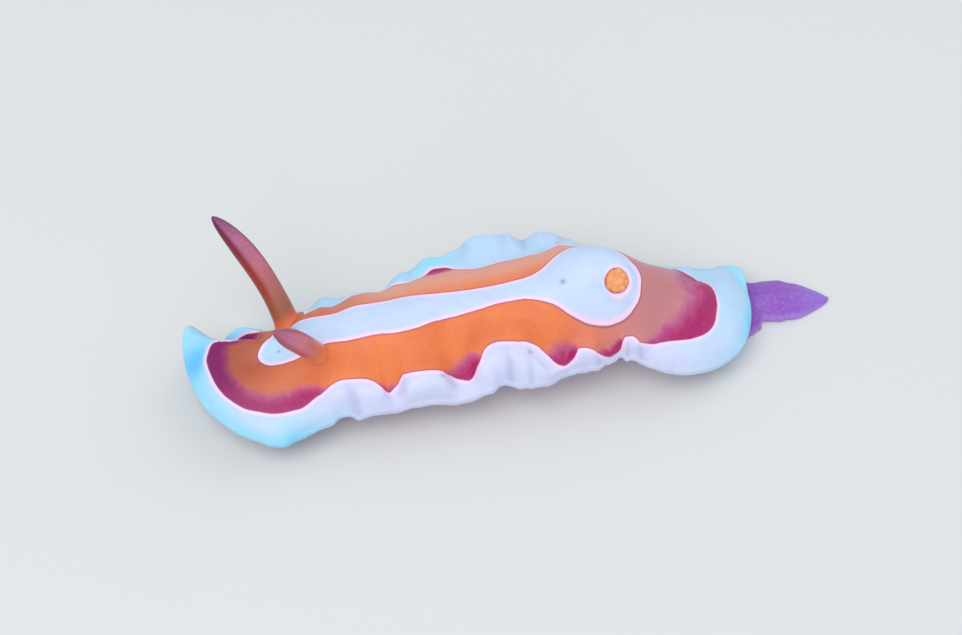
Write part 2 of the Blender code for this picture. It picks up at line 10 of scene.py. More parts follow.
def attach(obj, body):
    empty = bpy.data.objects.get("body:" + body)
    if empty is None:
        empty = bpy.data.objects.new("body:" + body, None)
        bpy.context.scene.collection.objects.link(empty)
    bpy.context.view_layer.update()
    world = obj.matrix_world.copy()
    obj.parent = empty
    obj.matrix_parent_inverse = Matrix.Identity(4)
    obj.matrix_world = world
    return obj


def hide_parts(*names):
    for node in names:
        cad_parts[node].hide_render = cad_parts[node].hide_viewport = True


# A crawling nudibranch, life size. Lengths are in millimetres until a mesh is made.
# A place on the body is s, back along the midline, n, to the animal's right, and z, up.

mm = 0.001
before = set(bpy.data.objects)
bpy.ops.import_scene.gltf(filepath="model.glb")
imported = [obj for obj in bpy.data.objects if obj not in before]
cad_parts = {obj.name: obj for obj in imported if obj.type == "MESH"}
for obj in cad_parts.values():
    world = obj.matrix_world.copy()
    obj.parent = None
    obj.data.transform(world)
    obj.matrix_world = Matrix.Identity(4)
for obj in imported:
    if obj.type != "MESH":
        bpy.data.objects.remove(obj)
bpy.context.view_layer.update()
scene = bpy.context.scene
print("frame loaded:", len(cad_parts), "solids")


# Curves and small maths

def hermite(t, start, startSlope, end, endSlope):
    return (
        (2 * t**3 - 3 * t**2 + 1) * start + (t**3 - 2 * t**2 + t) * startSlope
        + (3 * t**2 - 2 * t**3) * end + (t**3 - t**2) * endSlope
    )


def smoothCurve(points):  # passes through the points and never overshoots between them
    x, y = np.array(points, float).T
    step = np.diff(x)
    rise = np.diff(y) / step
    slope = np.concatenate([rise[:1], np.zeros(len(x) - 2), rise[-1:]])
    for i in range(1, len(x) - 1):
        if rise[i - 1] * rise[i] > 0:
            before, after = 2 * step[i] + step[i - 1], step[i] + 2 * step[i - 1]
            slope[i] = (before + after) / (before / rise[i - 1] + after / rise[i])

    def at(value):
        value = np.clip(value, x[0], x[-1])
        i = np.clip(np.searchsorted(x, value, side="right") - 1, 0, len(step) - 1)
        t = (value - x[i]) / step[i]
        return hermite(t, y[i], slope[i] * step[i], y[i + 1], slope[i + 1] * step[i])

    return at


def smoothStep(t):
    t = np.clip(t, 0, 1)
    return t * t * (3 - 2 * t)


def ramp(value, start, length):  # 0 up to start, 1 from one length further on, smooth between
    return smoothStep((value - start) / length)


def bell(distance, width):
    return np.exp(-((distance / width) ** 2))


def density(start, end, spacing, closer=(), samples=4000):  # places from start to end, closer round some
    fine = np.linspace(start, end, samples)
    gap = np.full_like(fine, spacing)
    for middle, width, small in closer:
        gap -= (spacing - small) * bell(fine - middle, width)
    count = np.concatenate([[0], np.cumsum(np.diff(fine) / gap[1:])])
    return np.interp(np.linspace(0, count[-1], math.ceil(count[-1]) + 1), count, fine)


# The midline that the animal's pose bends

midline = dict(
    headings=((0, 30), (3, 22), (6, 14), (10, 12), (13, 7), (15.5, 1), (18, 2), (20, 14), (21.5, 27),
              (23, 32), (23.9, 4), (25, -3), (27, -3)),
    start=-2.0, end=30.0, step=0.02, originAt=12.45,
)
heading = smoothCurve(midline["headings"])
lineS = np.arange(midline["start"], midline["end"], midline["step"])
lineTurn = np.radians(heading(lineS[:-1]))
lineX = np.concatenate([[0], np.cumsum(np.cos(lineTurn) * midline["step"])])
lineY = np.concatenate([[0], np.cumsum(np.sin(lineTurn) * midline["step"])])
lineX -= np.interp(midline["originAt"], lineS, lineX)
lineY -= np.interp(midline["originAt"], lineS, lineY)


def place(s, n, z):  # millimetres in the frame
    turn = np.radians(heading(s))
    x = np.interp(s, lineS, lineX) - n * np.sin(turn)
    y = np.interp(s, lineS, lineY) + n * np.cos(turn)
    return np.stack([x, y, z + 0 * x], axis=-1)


# Mantle: sizes first, then the two sides with their folds

mantle = dict(
    length=23.25, frontEdge=0.1, rearEdge=23.4, frontTipN=0.35, rearTipN=1.4, frontTurn=3.3, rearTurn=3.2,
    straight=(6.6, 17.2), rimThickness=0.45, rimReach=0.06, edgeDroop=1.6,
    ridge=((0, 2.3), (2, 2.5), (3, 2.95), (4, 3.42), (6, 3.8), (9, 4.05), (12.4, 4.2), (14.6, 4.4),
           (16.6, 4.5), (18, 4.2), (19.4, 3.25), (21, 2.7), (23.4, 2.2)),
    ridgeEnds=(2.8, 20.1), ridgeAfterTurns=(3.7, 19.3),
    underside=((0, 1.35), (3, 1.55), (6, 1.9), (12, 2.0), (17, 2.0), (20, 1.6), (21.5, 1.2), (22.9, 1.0)),
    underFlat=0.45, underInset=0.02,
    guides=(0, 0.34, 0.62, 0.81, 1.0),  # shares of the way out: ridge, shoulder, band, mid band, margin
    shoulderReach=0.55, crown=2.1, bulgePerFold=0.3, middleOut=0.09, middleOutPerBulge=0.5, foldFlatness=3,
    # a closer stretch: its middle, half width and spacing
    rowSpacing=0.1, closerRows=((17.02, 0.9, 0.042), (4.9, 0.8, 0.07)), turnRows=34,
    columnSpacing=0.024, closerColumns=((0.08, 0.2, 0.014),), underColumns=20, rimRings=5, whiteSteps=8,
)
gillHump = dict(s=16.4, n=0.95, height=1.1, length=2.3, width=1.7)

leftSide = dict(
    turns=(3.3, 4.8), bulge=0.12,
    width=((0, 3.05), (3, 3.0), (5, 2.8), (8, 2.98), (11, 3.05), (14, 3.05), (15.2, 2.55), (17.8, 2.12),
           (20, 2.75), (21.4, 2.95), (23.4, 2.45)),
    height=((0, 1.8), (2, 1.5), (5, 1.65), (8, 1.85), (12, 2.0), (15, 2.2), (17.5, 2.2), (19.5, 1.7),
            (21, 1.45), (23.4, 1.35)),
    band=((0, 0.75), (2, 0.8), (3, 0.85), (5, 0.85), (8, 0.7), (12, 0.8), (15, 0.45), (17, 0.45), (19, 0.95),
          (21, 1.2), (23.4, 1.75)),
    rise=((0, 0.7), (3, 0.9), (5, 1.0), (8, 0.8), (12, 0.75), (15, 0.5), (17.5, 0.6), (19.5, 0.9),
          (22.9, 1.1)),
    # a fold: place, half length, band wider, band higher, margin out, margin up
    folds=((2.25, 0.9, 0, 0, 0.15, 0), (5.5, 0.6, 0, 0, -0.15, 0.1), (6.1, 1.5, 0.35, 0.3, 0.05, 0.1),
           (7.65, 0.5, -0.15, -0.4, 0, 0), (9.0, 1.35, 0.1, 0.45, 0, 0.1), (10.2, 1.2, 0, 0, 0.08, -0.1),
           (10.45, 0.8, -0.15, -0.4, 0, 0), (12.25, 0.6, 0, 0, -0.25, 0.1), (12.5, 1.9, 0.75, 0.6, 0, 0.1),
           (15.85, 0.85, 0.3, 0.5, 0.1, 0.1), (16.9, 0.6, 0, 0, -0.1, 0.05),
           (17.5, 0.8, 0.15, 0.4, -0.1, 0.2)),
    # white margin: place, share of the way out where it begins
    white=((0, 0.65), (0.55, 0.665), (1.4, 0.67), (2.15, 0.64), (3.0, 0.665), (3.7, 0.7), (4.7, 0.66),
           (5.5, 0.675), (6.8, 0.68), (7.2, 0.715), (7.45, 0.655), (7.63, 0.6), (7.95, 0.59), (8.12, 0.614),
           (8.8, 0.65), (9.5, 0.667), (9.8, 0.625), (10.15, 0.645), (10.6, 0.735), (10.85, 0.725),
           (11.2, 0.668), (12.4, 0.65), (12.95, 0.58), (13.3, 0.545), (13.6, 0.565), (13.9, 0.65),
           (14.3, 0.815), (14.7, 0.81), (14.95, 0.735), (15.5, 0.775), (15.95, 0.84), (16.6, 0.93),
           (17.1, 0.94), (17.22, 0.8), (17.42, 0.68), (17.9, 0.688), (18.9, 0.78), (19.8, 0.71), (20.6, 0.67),
           (21.3, 0.678), (22.2, 0.65), (22.75, 0.59), (23.25, 0.505)),
    # magenta inside the white: place, share of the way out where it begins, softness
    magenta=((0, 0.44, 0.17), (1.2, 0.475, 0.17), (2.4, 0.49, 0.18), (3.7, 0.53, 0.18), (4.5, 0.58, 0.16),
             (5.0, 0.68, 0.12), (5.6, 0.76, 0.12), (6.9, 0.76, 0.12), (7.3, 0.67, 0.12), (7.6, 0.6, 0.14),
             (7.9, 0.66, 0.12), (8.3, 0.74, 0.12), (9.3, 0.74, 0.12), (9.7, 0.63, 0.15), (10.05, 0.55, 0.16),
             (10.45, 0.54, 0.16), (10.75, 0.62, 0.14), (11.1, 0.76, 0.12), (11.6, 0.8, 0.12),
             (12.9, 0.78, 0.12), (13.4, 0.6, 0.16), (13.8, 0.56, 0.2), (14.2, 0.56, 0.22), (14.5, 0.59, 0.22),
             (14.85, 0.7, 0.16), (15.2, 0.82, 0.12), (15.7, 0.84, 0.12), (16.15, 0.76, 0.2),
             (16.5, 0.7, 0.22), (16.9, 0.7, 0.18), (17.2, 0.72, 0.12), (17.5, 0.85, 0.12), (18.6, 0.9, 0.12),
             (19.2, 0.8, 0.25), (19.9, 0.59, 0.5), (20.4, 0.44, 0.6), (20.8, 0.29, 0.6), (21.5, 0.15, 0.6),
             (23.25, 0.1, 0.6)),
    # narrow pleat across the band: place, half width, height, lean tailwards
    pleats=((5.95, 0.22, -0.1, 0.3), (6.9, 0.3, 0.05, 0.2), (8.3, 0.25, 0.05, -0.2), (11.35, 0.25, 0.08, 0.2),
            (12.45, 0.16, -0.09, 0.1), (12.9, 0.2, 0.05, 0), (13.35, 0.14, -0.07, 0.1),
            (13.9, 0.2, 0.05, 0.1), (15.45, 0.14, 0.05, 0.1), (16.3, 0.16, -0.06, 0.1), (16.6, 0.11, 0.08, 0),
            (16.82, 0.09, -0.05, 0), (17.0, 0.08, -0.07, 0), (17.2, 0.12, 0.17, 0), (17.42, 0.09, -0.08, 0),
            (17.95, 0.12, -0.07, 0.1)),
)
rightSide = dict(
    turns=(1.25, 0.4), bulge=0,
    width=((0, 3.0), (1.1, 3.2), (1.8, 2.75), (3.4, 2.55), (4.4, 2.75), (6, 2.75), (8, 2.5), (9, 2.85),
           (10, 3.2), (12.4, 3.9), (14.6, 3.8), (16.5, 3.3), (18.5, 2.7), (20.5, 2.4), (22.2, 2.1),
           (23.4, 1.95)),
    height=((0, 1.9), (0.9, 2.4), (1.35, 1.65), (1.8, 1.05), (2.2, 1.5), (2.6, 1.8), (3.0, 1.5), (3.5, 0.85),
            (4.3, 0.9), (5.0, 1.2), (5.8, 2.1), (6.8, 1.7), (7.75, 1.65), (8.65, 2.6), (10, 2.85),
            (12.4, 2.9), (14.6, 2.85), (15.8, 2.4), (17, 1.9), (18.6, 1.7), (19.8, 2.0), (21, 1.9),
            (22, 1.55), (22.5, 1.3), (23.4, 1.2)),
    band=((0, 0.8), (1.1, 1.25), (2, 1.2), (3.4, 1.0), (5, 0.85), (6.5, 0.95), (8, 0.75), (9, 0.8), (10, 1.0),
          (12, 1.6), (15, 1.1), (17, 0.9), (19, 0.6), (20.5, 0.7), (21.6, 1.2), (23.4, 1.85)),
    rise=((0, 0.7), (0.9, 0), (1.4, -0.1), (1.8, 0.25), (2.3, 0.45), (2.8, 0.6), (3.4, 1.0), (4.0, 1.5),
          (4.6, 1.65), (5.2, 1.3), (5.8, 0.6), (7.0, 1.7), (7.8, 1.5), (8.6, 0.4), (9.2, 0.2), (12, 0.2),
          (15, 0.4), (17, 1.0), (18.3, 0.65), (19.2, 0.5), (20.5, 0.6), (22.9, 0.9)),
    folds=((1.15, 0.45, 0, -0.4, 0, 0), (9.45, 0.4, 0, 0, -0.1, -0.12), (10.5, 0.4, 0, 0, -0.05, -0.1),
           (11.0, 0.8, 0, 0, -0.2, -0.1), (13.7, 0.5, 0, -0.05, -0.1, -0.25)),
    white=((0, 0.65), (0.9, 0.64), (1.45, 0.606), (2.05, 0.58), (2.3, 0.56), (2.4, 0.43), (2.7, 0.39),
           (3.3, 0.5), (3.8, 0.8), (4.2, 0.77), (4.4, 0.64), (5.0, 0.5), (5.4, 0.455), (5.9, 0.565),
           (6.5, 0.576), (6.9, 0.56), (7.3, 0.6), (8.2, 0.715), (8.6, 0.665), (9.1, 0.6), (9.5, 0.61),
           (10.2, 0.715), (10.6, 0.705), (11.0, 0.645), (12, 0.565), (12.9, 0.588), (13.6, 0.55),
           (14.0, 0.555), (14.35, 0.5), (14.8, 0.56), (15.3, 0.65), (18.3, 0.6), (18.7, 0.62), (19.1, 0.67),
           (19.7, 0.62), (20.3, 0.56), (20.9, 0.515), (22, 0.49), (23.25, 0.505)),
    magenta=((0, 0.44, 0.17), (1.2, 0.43, 0.17), (2.0, 0.44, 0.15), (2.2, 0.37, 0.13), (3.3, 0.35, 0.12),
             (3.8, 0.66, 0.12), (4.25, 0.62, 0.12), (4.6, 0.7, 0.12), (5.0, 0.8, 0.12), (8.9, 0.8, 0.12),
             (9.7, 0.62, 0.1), (10.2, 0.62, 0.1), (10.6, 0.63, 0.1), (11.0, 0.66, 0.1), (11.5, 0.8, 0.1),
             (18.0, 0.85, 0.12), (18.6, 0.62, 0.25), (19.0, 0.45, 0.45), (19.5, 0.38, 0.55),
             (20.3, 0.32, 0.6), (20.9, 0.22, 0.6), (21.5, 0.15, 0.6), (23.25, 0.1, 0.6)),
    pleats=((1.0, 0.35, 0.06, 0), (2.0, 0.25, -0.06, 0), (5.4, 0.3, 0.06, 0), (9.2, 0.25, -0.05, 0.2),
            (10.4, 0.3, 0.05, 0.1), (11.5, 0.22, -0.05, 0.2), (12.3, 0.25, 0.05, 0), (13.0, 0.2, -0.04, 0),
            (13.72, 0.13, -0.12, 0), (14.3, 0.22, 0.05, 0), (15.1, 0.18, -0.06, 0), (16.2, 0.25, 0.05, 0),
            (20.2, 0.3, -0.05, 0), (21.2, 0.3, 0.05, 0)),
)
stripe = dict(  # white midline: its far and near edges, as place and distance to the right, from end to end
    far=((2.7, 0.2), (2.76, 0.34), (3.05, 0.6), (3.6, 0.9), (4.4, 1.14), (4.84, 1.03), (5.4, 0.87),
         (5.9, 0.8), (6.5, 0.88), (7.8, 0.8), (8.6, 0.78), (9.76, 0.59), (10.9, 0.44), (11.7, 0.4),
         (13.3, 0.43), (13.7, 0.46), (14.07, 0.6), (14.86, 1.28), (15.3, 1.5), (16.1, 1.68), (16.6, 1.55),
         (17.03, 1.28), (17.4, 0.95), (17.77, 0.55), (17.93, 0.25), (17.98, 0)),
    near=((2.7, 0.2), (2.74, 0), (2.85, -0.23), (3.08, -0.46), (3.6, -0.66), (4.1, -0.72), (5.3, -0.55),
          (6.1, -0.64), (7.5, -0.71), (8.3, -0.84), (8.9, -0.82), (9.9, -0.68), (10.7, -0.64), (11.55, -0.54),
          (12.4, -0.44), (13.2, -0.46), (13.8, -0.6), (14.5, -0.84), (15.2, -1.18), (15.9, -1.35),
          (16.5, -1.38), (17.1, -1.28), (17.5, -1.08), (17.77, -0.82), (17.93, -0.5), (17.98, 0)),
    samples=900,
)


def rowPlaces(rows, first, afterTurn, beforeTurn, last):
    straight, length = mantle["straight"], mantle["length"]
    ends = (0, mantle["frontTurn"], *straight, length - mantle["rearTurn"], length)
    return smoothCurve(list(zip(ends, (first, afterTurn, *straight, beforeTurn, last))))(rows)


def foldShape(s, middle, half):
    return (1 - np.abs(np.clip((s - middle) / half, -1, 1)) ** mantle["foldFlatness"]) ** 2


def marginLines(side, sign, rows):
    frontTurn, rearTurn = side["turns"]
    s = rowPlaces(rows, mantle["frontEdge"], frontTurn, mantle["length"] - rearTurn, mantle["rearEdge"])
    front = np.clip(rows / mantle["frontTurn"], 0, 1)
    rear = np.clip((mantle["length"] - rows) / mantle["rearTurn"], 0, 1)
    turn = np.sqrt((1 - (1 - front) ** 2) * (1 - (1 - rear) ** 2))
    line = {key: smoothCurve(side[key])(s) for key in ("width", "height", "band", "rise")}
    wider, higher, out, up = (
        sum(fold[k] * foldShape(s, fold[0], fold[1]) for fold in side["folds"]) for k in (2, 3, 4, 5)
    )
    tip = np.where(rows < mantle["length"] / 2, mantle["frontTipN"], mantle["rearTipN"])
    return dict(
        turn=turn, s=s, n=sign * line["width"] * turn + tip * (1 - turn), out=sign * out * turn,
        z=line["height"], up=up, band=line["band"] + wider, bandZ=line["height"] + line["rise"] + higher,
        bulge=side["bulge"] + mantle["bulgePerFold"] * higher,
    )


def guideLines(side, other, sign, rows):
    here, across = marginLines(side, sign, rows), marginLines(other, -sign, rows)
    share = 0.5 + 0.5 * here["turn"]
    for key in ("z", "up", "band", "bandZ", "bulge"):
        here[key] = here[key] * share + across[key] * (1 - share)
    ridgeS = rowPlaces(rows, mantle["ridgeEnds"][0], *mantle["ridgeAfterTurns"], mantle["ridgeEnds"][1])
    ridge = np.stack([ridgeS, 0 * rows, smoothCurve(mantle["ridge"])(ridgeS)], axis=1)
    edge = np.stack([here["s"], here["n"], here["z"]], axis=1)
    inward = ridge[:, :2] - edge[:, :2]
    inward = inward / np.linalg.norm(inward, axis=1, keepdims=True)
    band = np.column_stack([edge[:, :2] + inward * here["band"][:, None], here["bandZ"]])
    edge[:, 1] += here["out"]
    edge[:, 2] += here["up"]
    middle = (band + edge) / 2
    out = mantle["middleOut"] + mantle["middleOutPerBulge"] * here["bulge"]
    middle[:, :2] -= inward * out[:, None]
    middle[:, 2] += here["bulge"]
    reach = mantle["shoulderReach"]
    shoulder = ridge + (band - ridge) * reach
    shoulder[:, 2] = band[:, 2] + (ridge[:, 2] - band[:, 2]) * (1 - reach ** mantle["crown"])
    return np.stack([ridge, shoulder, band, middle, edge], axis=1)


def ridgeSlope(s, step=0.1):
    height = smoothCurve(mantle["ridge"])
    return (height(s + step) - height(s - step)) / (2 * step)


def topPoints(guides, share):
    at = np.array(mantle["guides"])
    i = min(int(np.searchsorted(at, share, side="right")) - 1, len(at) - 2)
    slopes = []
    for k in (i, i + 1):
        if k == 0:
            slope = (guides[:, 1] - guides[:, 0]) / at[1]
            slope[:, 2] = slope[:, 0] * ridgeSlope(guides[:, 0, 0])
        elif k == len(at) - 1:
            droop = mantle["edgeDroop"]
            slope = droop * (guides[:, k] - guides[:, k - 1]) / (at[k] - at[k - 1])
            slope = slope - (droop - 1) * (guides[:, k] - guides[:, k - 2]) / (at[k] - at[k - 2])
        else:
            slope = (guides[:, k + 1] - guides[:, k - 1]) / (at[k + 1] - at[k - 1])
        slopes.append(slope * (at[i + 1] - at[i]))
    t = (share - at[i]) / (at[i + 1] - at[i])
    points = hermite(t, guides[:, i], slopes[0], guides[:, i + 1], slopes[1])
    along, across = points[:, 0] - gillHump["s"], points[:, 1] - gillHump["n"]
    points[:, 2] += gillHump["height"] * bell(along, gillHump["length"]) * bell(across, gillHump["width"])
    return points


def underPoints(guides, top, share):
    points = top.copy()
    points[:, :2] += (guides[:, 0, :2] - points[:, :2]) * mantle["underInset"]
    level = smoothCurve(mantle["underside"])(points[:, 0])
    rim = guides[:, -1, 2] - mantle["rimThickness"]
    points[:, 2] = level + (rim - level) * ramp(share, mantle["underFlat"], 1 - mantle["underFlat"])
    return points


search = dict(  # how the height of the back is found at one place
    firstRow=0.4, reach=2.5, rowStep=0.1, shares=25, nearest=4, slopeReach=0.5,
)


def surfaceHeight(s, n):
    side, other, sign = (leftSide, rightSide, -1) if n < 0 else (rightSide, leftSide, 1)
    rows = np.arange(max(search["firstRow"], s - search["reach"]), min(mantle["length"], s + search["reach"]),
                     search["rowStep"])
    guides = guideLines(side, other, sign, rows)
    points = np.concatenate([topPoints(guides, share) for share in np.linspace(0, 1, search["shares"])])
    nearest = np.argsort((points[:, 0] - s) ** 2 + (points[:, 1] - n) ** 2)[:search["nearest"]]
    return points[nearest, 2].mean()


def surfaceFrame(s, n):  # a point on the back, in millimetres, and the way out of it
    reach = search["slopeReach"]
    here = place(s, n, surfaceHeight(s, n))
    back = place(s + reach, n, surfaceHeight(s + reach, n)) - here
    right = place(s, n + reach, surfaceHeight(s, n + reach)) - here
    out = np.cross(back, right)
    return here, out / np.linalg.norm(out)


# Mesh tools

mergeWithin = 0.0008  # points closer than this become one
distanceBatch = 4000  # points measured at a time


def makeObject(name, verts, faces, smooth=True):  # verts in millimetres
    mesh = bpy.data.meshes.new(name)
    mesh.from_pydata((np.asarray(verts) * mm).tolist(), [], [list(map(int, face)) for face in faces])
    builder = bmesh.new()
    builder.from_mesh(mesh)
    bmesh.ops.remove_doubles(builder, verts=builder.verts, dist=mergeWithin * mm)
    bmesh.ops.dissolve_degenerate(builder, edges=builder.edges, dist=mergeWithin * mm)
    bmesh.ops.triangulate(builder, faces=builder.faces)
    bmesh.ops.recalc_face_normals(builder, faces=builder.faces)
    builder.to_mesh(mesh)
    builder.free()
    if smooth:
        mesh.shade_smooth()
    made = bpy.data.objects.new(name, mesh)
    scene.collection.objects.link(made)
    return made


def tubeFaces(rings, sides, capped=True):  # quads between closed rings laid out one after another
    k = np.arange(sides)
    faces = []
    for i in range(rings - 1):
        a, b = i * sides, (i + 1) * sides
        faces += np.stack([a + k, a + (k + 1) % sides, b + (k + 1) % sides, b + k], axis=1).tolist()
    if capped:
        faces += [list(range(sides - 1, -1, -1)), list(range((rings - 1) * sides, rings * sides))]
    return faces


def makeTube(name, rings):
    return makeObject(name, rings.reshape(-1, 3), tubeFaces(*rings.shape[:2]))


def unite(target, others, operation="UNION"):
    pieces = bpy.data.collections.new("pieces")
    for other in others:
        pieces.objects.link(other)
    modifier = target.modifiers.new("join", "BOOLEAN")
    modifier.operation = operation
    modifier.operand_type = "COLLECTION"
    modifier.collection = pieces
    modifier.solver = "MANIFOLD"
    graph = bpy.context.evaluated_depsgraph_get()
    made = bpy.data.meshes.new_from_object(target.evaluated_get(graph))
    target.modifiers.clear()
    target.data = made
    for other in others:
        bpy.data.objects.remove(other, do_unlink=True)
    bpy.data.collections.remove(pieces)


def vertexArray(mesh):
    points = np.empty(len(mesh.vertices) * 3)
    mesh.vertices.foreach_get("co", points)
    return points.reshape(-1, 3) / mm


def setValues(mesh, name, values):
    attribute = mesh.attributes.new(name, "FLOAT", "POINT")
    attribute.data.foreach_set("value", np.asarray(values, np.float32))


def nearestDistance(points, line):  # from each point to the nearest of the line's points
    found = np.empty(len(points))
    for i in range(0, len(points), distanceBatch):
        part = points[i:i + distanceBatch]
        found[i:i + distanceBatch] = np.sqrt(((part[:, None] - line[None]) ** 2).sum(axis=2).min(axis=1))
    return found


def nearestPoints(mesh, points):  # for each of the mesh's points, which of the given ones lies nearest
    tree = KDTree(len(points))
    for i, point in enumerate(points):
        tree.insert(point, i)
    tree.balance()
    return np.array([tree.find(point)[1] for point in vertexArray(mesh)])


def axisDistance(offset, axis):  # across the axis
    return np.linalg.norm(offset - (offset @ axis)[..., None] * axis, axis=-1)


# Skin of the mantle, with its markings as values on the points

rhinophores = dict(
    # radius by share of the length; facing, the way that the painted sheen, a pale streak, faces; lift,
    # painted light that lightens the whole rhinophore
    rhinophore_right=dict(
        s=4.25, n=1.65, axis=(-2.68, 2.15, 4.2), bend=(0.28, 0.1, 0.07), length=5.5,
        facing=(0.59, -0.5, 0.63), lift=0, flare=0.05,
        radius=((0, 0.54), (0.12, 0.49), (0.3, 0.46), (0.5, 0.465), (0.65, 0.45), (0.78, 0.39), (0.85, 0.335),
                (0.92, 0.25), (0.96, 0.17), (0.985, 0.1), (1, 0.03)),
    ),
    rhinophore_left=dict(
        s=4.92, n=-0.82, axis=(-1.22, -1.83, 4.15), bend=(0.02, 0.06, 0.04), length=4.72,
        facing=(0.92, -0.38, 0.08), lift=0.25, flare=0,
        radius=((0, 0.44), (0.15, 0.43), (0.4, 0.43), (0.6, 0.41), (0.75, 0.34), (0.85, 0.25), (0.92, 0.17),
                (0.96, 0.11), (0.985, 0.07), (1, 0.03)),
    ),
)
collar = dict(radius=0.45, width=0.3, height=0.03, within=2, orangeRadius=0.64)
pocket = dict(s=17.02, n=-0.25, rimRadius=0.62, rimWidth=0.14, rimHeight=0.05, depth=0.4, mouth=0.5,
              wall=0.08, within=1.6, highlightRadius=0.47, highlightWidth=0.075)
frill = dict(
    waves=((1.3, 0.02, 0.4), (0.74, 0.014, 2.1), (0.41, 0.008, 0.9)),  # length, height, phase
    waveGrowth=(0.7, 0.3), pleatGrowth=(0.6, 0.3), pleatMiddle=0.8, calmEnds=0.5, underFade=-0.6,
)
coolLightPatches = (  # patches of painted cool light: place, distance to the right, radius, depth
    (0.6, 1.4, 0.8, 0.6), (10.3, 2.85, 0.8, 0.35), (22.5, -1.2, 0.7, 0.4), (3.0, -3.2, 0.8, 0.4))
specks = (  # place, distance to the right, radius
    (9.6, -2.55, 0.07), (13.4, -2.15, 0.08), (14.9, -0.15, 0.09), (3.5, -0.05, 0.05), (14.9, 3.0, 0.06))
tints = dict(  # an amount, the place where it starts to grow and the length that this takes
    # far, with the haze on the next line: painted haze of light that pales the far side
    plumAlong=(1, 1.6, 3), plumAcross=(0.7, -1.8, 2.2), dusk=(1, 14.2, 4.4), far=(1, 0.2, 1.2),
    # the front-shade ones: painted shade at the front of the back
    haze=(1, 4.5, 3), frontShadeAlong=(1, 1.8, 4), frontShadeAcross=(0.4, -1.6, 2.4), frontShadeFar=(0.5, 5.5, 3.5),
    underside=(1, 0.75, 0.9),
    # the cool ones: painted cool light, the cyan of the light on the white; tailCool is the tail tip's own
    # blue
    coolAcross=(0.2, -2.3, 1.6), coolFront=(0.3, 2.5, 3.5), coolRear=(0.2, 18.5, 2), coolFar=(0.5, 0.2, 2.2),
    coolFarRear=(0.6, 9.5, 3), coolHead=(0.6, 0.2, 3), coolHeadNear=(0.65, -2.4, 3), coolOuter=(1, 0.66, 0.3),
    coolRim=(1, 0.86, 0.12), coolRimFront=(0.5, 4, 3), coolRimRear=(0.55, 19.5, 2.5),
    footEdge=(1, 0.72, 0.25), tail=(1, 20.6, 1.6), tailMagenta=(0.5, 22.4, 1.2), flankDusk=(1, 0.4, 1.2),
    tailCool=(1, 24.4, 2), tailGlow=(0.5, 0.8, 0.2),
)
leastCoolLight, creaseShadeDepth = 0.12, 0.07  # least painted cool light on the white, and the depth at which the painted crease shade is full
layerNames = ("whiteEdge", "stripeEdge", "magenta", "plum", "dusk", "haze", "umber", "cool", "speck", "lower",
              "violet", "rimGlow", "crease", "pocketGlow")
blankLayers = dict(whiteEdge=-1, stripeEdge=9)  # where a layer isn't 0 away from its marking


def grow(tint, value):
    amount, start, length = tints[tint]
    return amount * ramp(value, start, length)


def shrink(tint, value):
    return tints[tint][0] - grow(tint, value)


def fullLayers(like, **given):  # every layer, in the shape of one array
    return {name: given.get(name, blankLayers.get(name, 0)) + 0 * like for name in layerNames}


def skinPart(points, layers, capped=True):  # rings of points as one list, with their faces and layers
    flat = {name: values.reshape(-1) for name, values in layers.items()}
    return points.reshape(-1, 3), tubeFaces(*points.shape[:2], capped), flat


def waves(sizes, places):
    return sum(high * np.sin(2 * math.pi * places / length + phase) for length, high, phase in sizes)


def pleatHeight(side, rows, s, share):
    lift = 0 * s
    for middle, half, height, lean in side["pleats"]:
        lift = lift + height * bell(s - middle - lean * (share - frill["pleatMiddle"]), half)
    ends = smoothStep(rows / frill["calmEnds"]) * smoothStep((mantle["length"] - rows) / frill["calmEnds"])
    return lift * ramp(share, *frill["pleatGrowth"]) * ends[:, None]


def sideGrid(side, other, sign, rows, shares):  # top and underside of one side, as (row, column, s n z)
    guides = guideLines(side, other, sign, rows)
    top = np.stack([topPoints(guides, share) for share in shares], axis=1)
    inward = np.linspace(1, 0, mantle["underColumns"])
    under = np.stack([underPoints(guides, topPoints(guides, share), share) for share in inward], axis=1)
    s, share = top[..., 0], shares[None, :] + 0 * top[..., 0]
    top[..., 2] += pleatHeight(side, rows, s, share)
    top[..., 2] += waves(frill["waves"], s) * ramp(share, *frill["waveGrowth"])
    fading = smoothStep(np.linspace(1, frill["underFade"], mantle["underColumns"]))
    under[..., 2] += (top[:, -1:, 2] - guides[:, -1:, 2]) * fading[None, :]
    return guides, top, under


def rimRings(guides, top, under):  # round the margin from the top's edge to the underside's
    outward = guides[:, -1, :2] - guides[:, 0, :2]
    outward = outward / np.linalg.norm(outward, axis=1, keepdims=True)
    high, low = top[:, -1], under[:, 0]
    rings = []
    for angle in np.linspace(math.pi / 2, -math.pi / 2, mantle["rimRings"] + 2)[1:-1]:
        t = 0.5 - 0.5 * math.sin(angle)
        ring = high * (1 - t) + low * t
        ring[:, :2] += outward * mantle["rimReach"] * math.cos(angle)
        rings.append(ring)
    return np.stack(rings, axis=1)


def sweepPlace(rows):  # rows spread evenly round the two turns
    front = np.arccos(1 - np.clip(rows / mantle["frontTurn"], 0, 1)) - math.pi / 2
    rear = np.arccos(1 - np.clip((mantle["length"] - rows) / mantle["rearTurn"], 0, 1)) - math.pi / 2
    turnsLeft = (mantle["frontTurn"] * front - mantle["rearTurn"] * rear) / (math.pi / 2)
    return np.clip(rows, mantle["frontTurn"], mantle["length"] - mantle["rearTurn"]) + turnsLeft


def whiteLine(side, guides, sweep):  # points where the white margin begins, one for each row
    shares = smoothCurve(side["white"])(sweep)
    return np.array([topPoints(guides[i:i + 1], share)[0] for i, share in enumerate(shares)]), shares


def magentaMask(side, sweep, share):
    places, begins, softness = zip(*side["magenta"])
    begins, softness = (smoothCurve(list(zip(places, values)))(sweep) for values in (begins, softness))
    return np.clip((share - begins) / softness + 0.5, 0, 1)


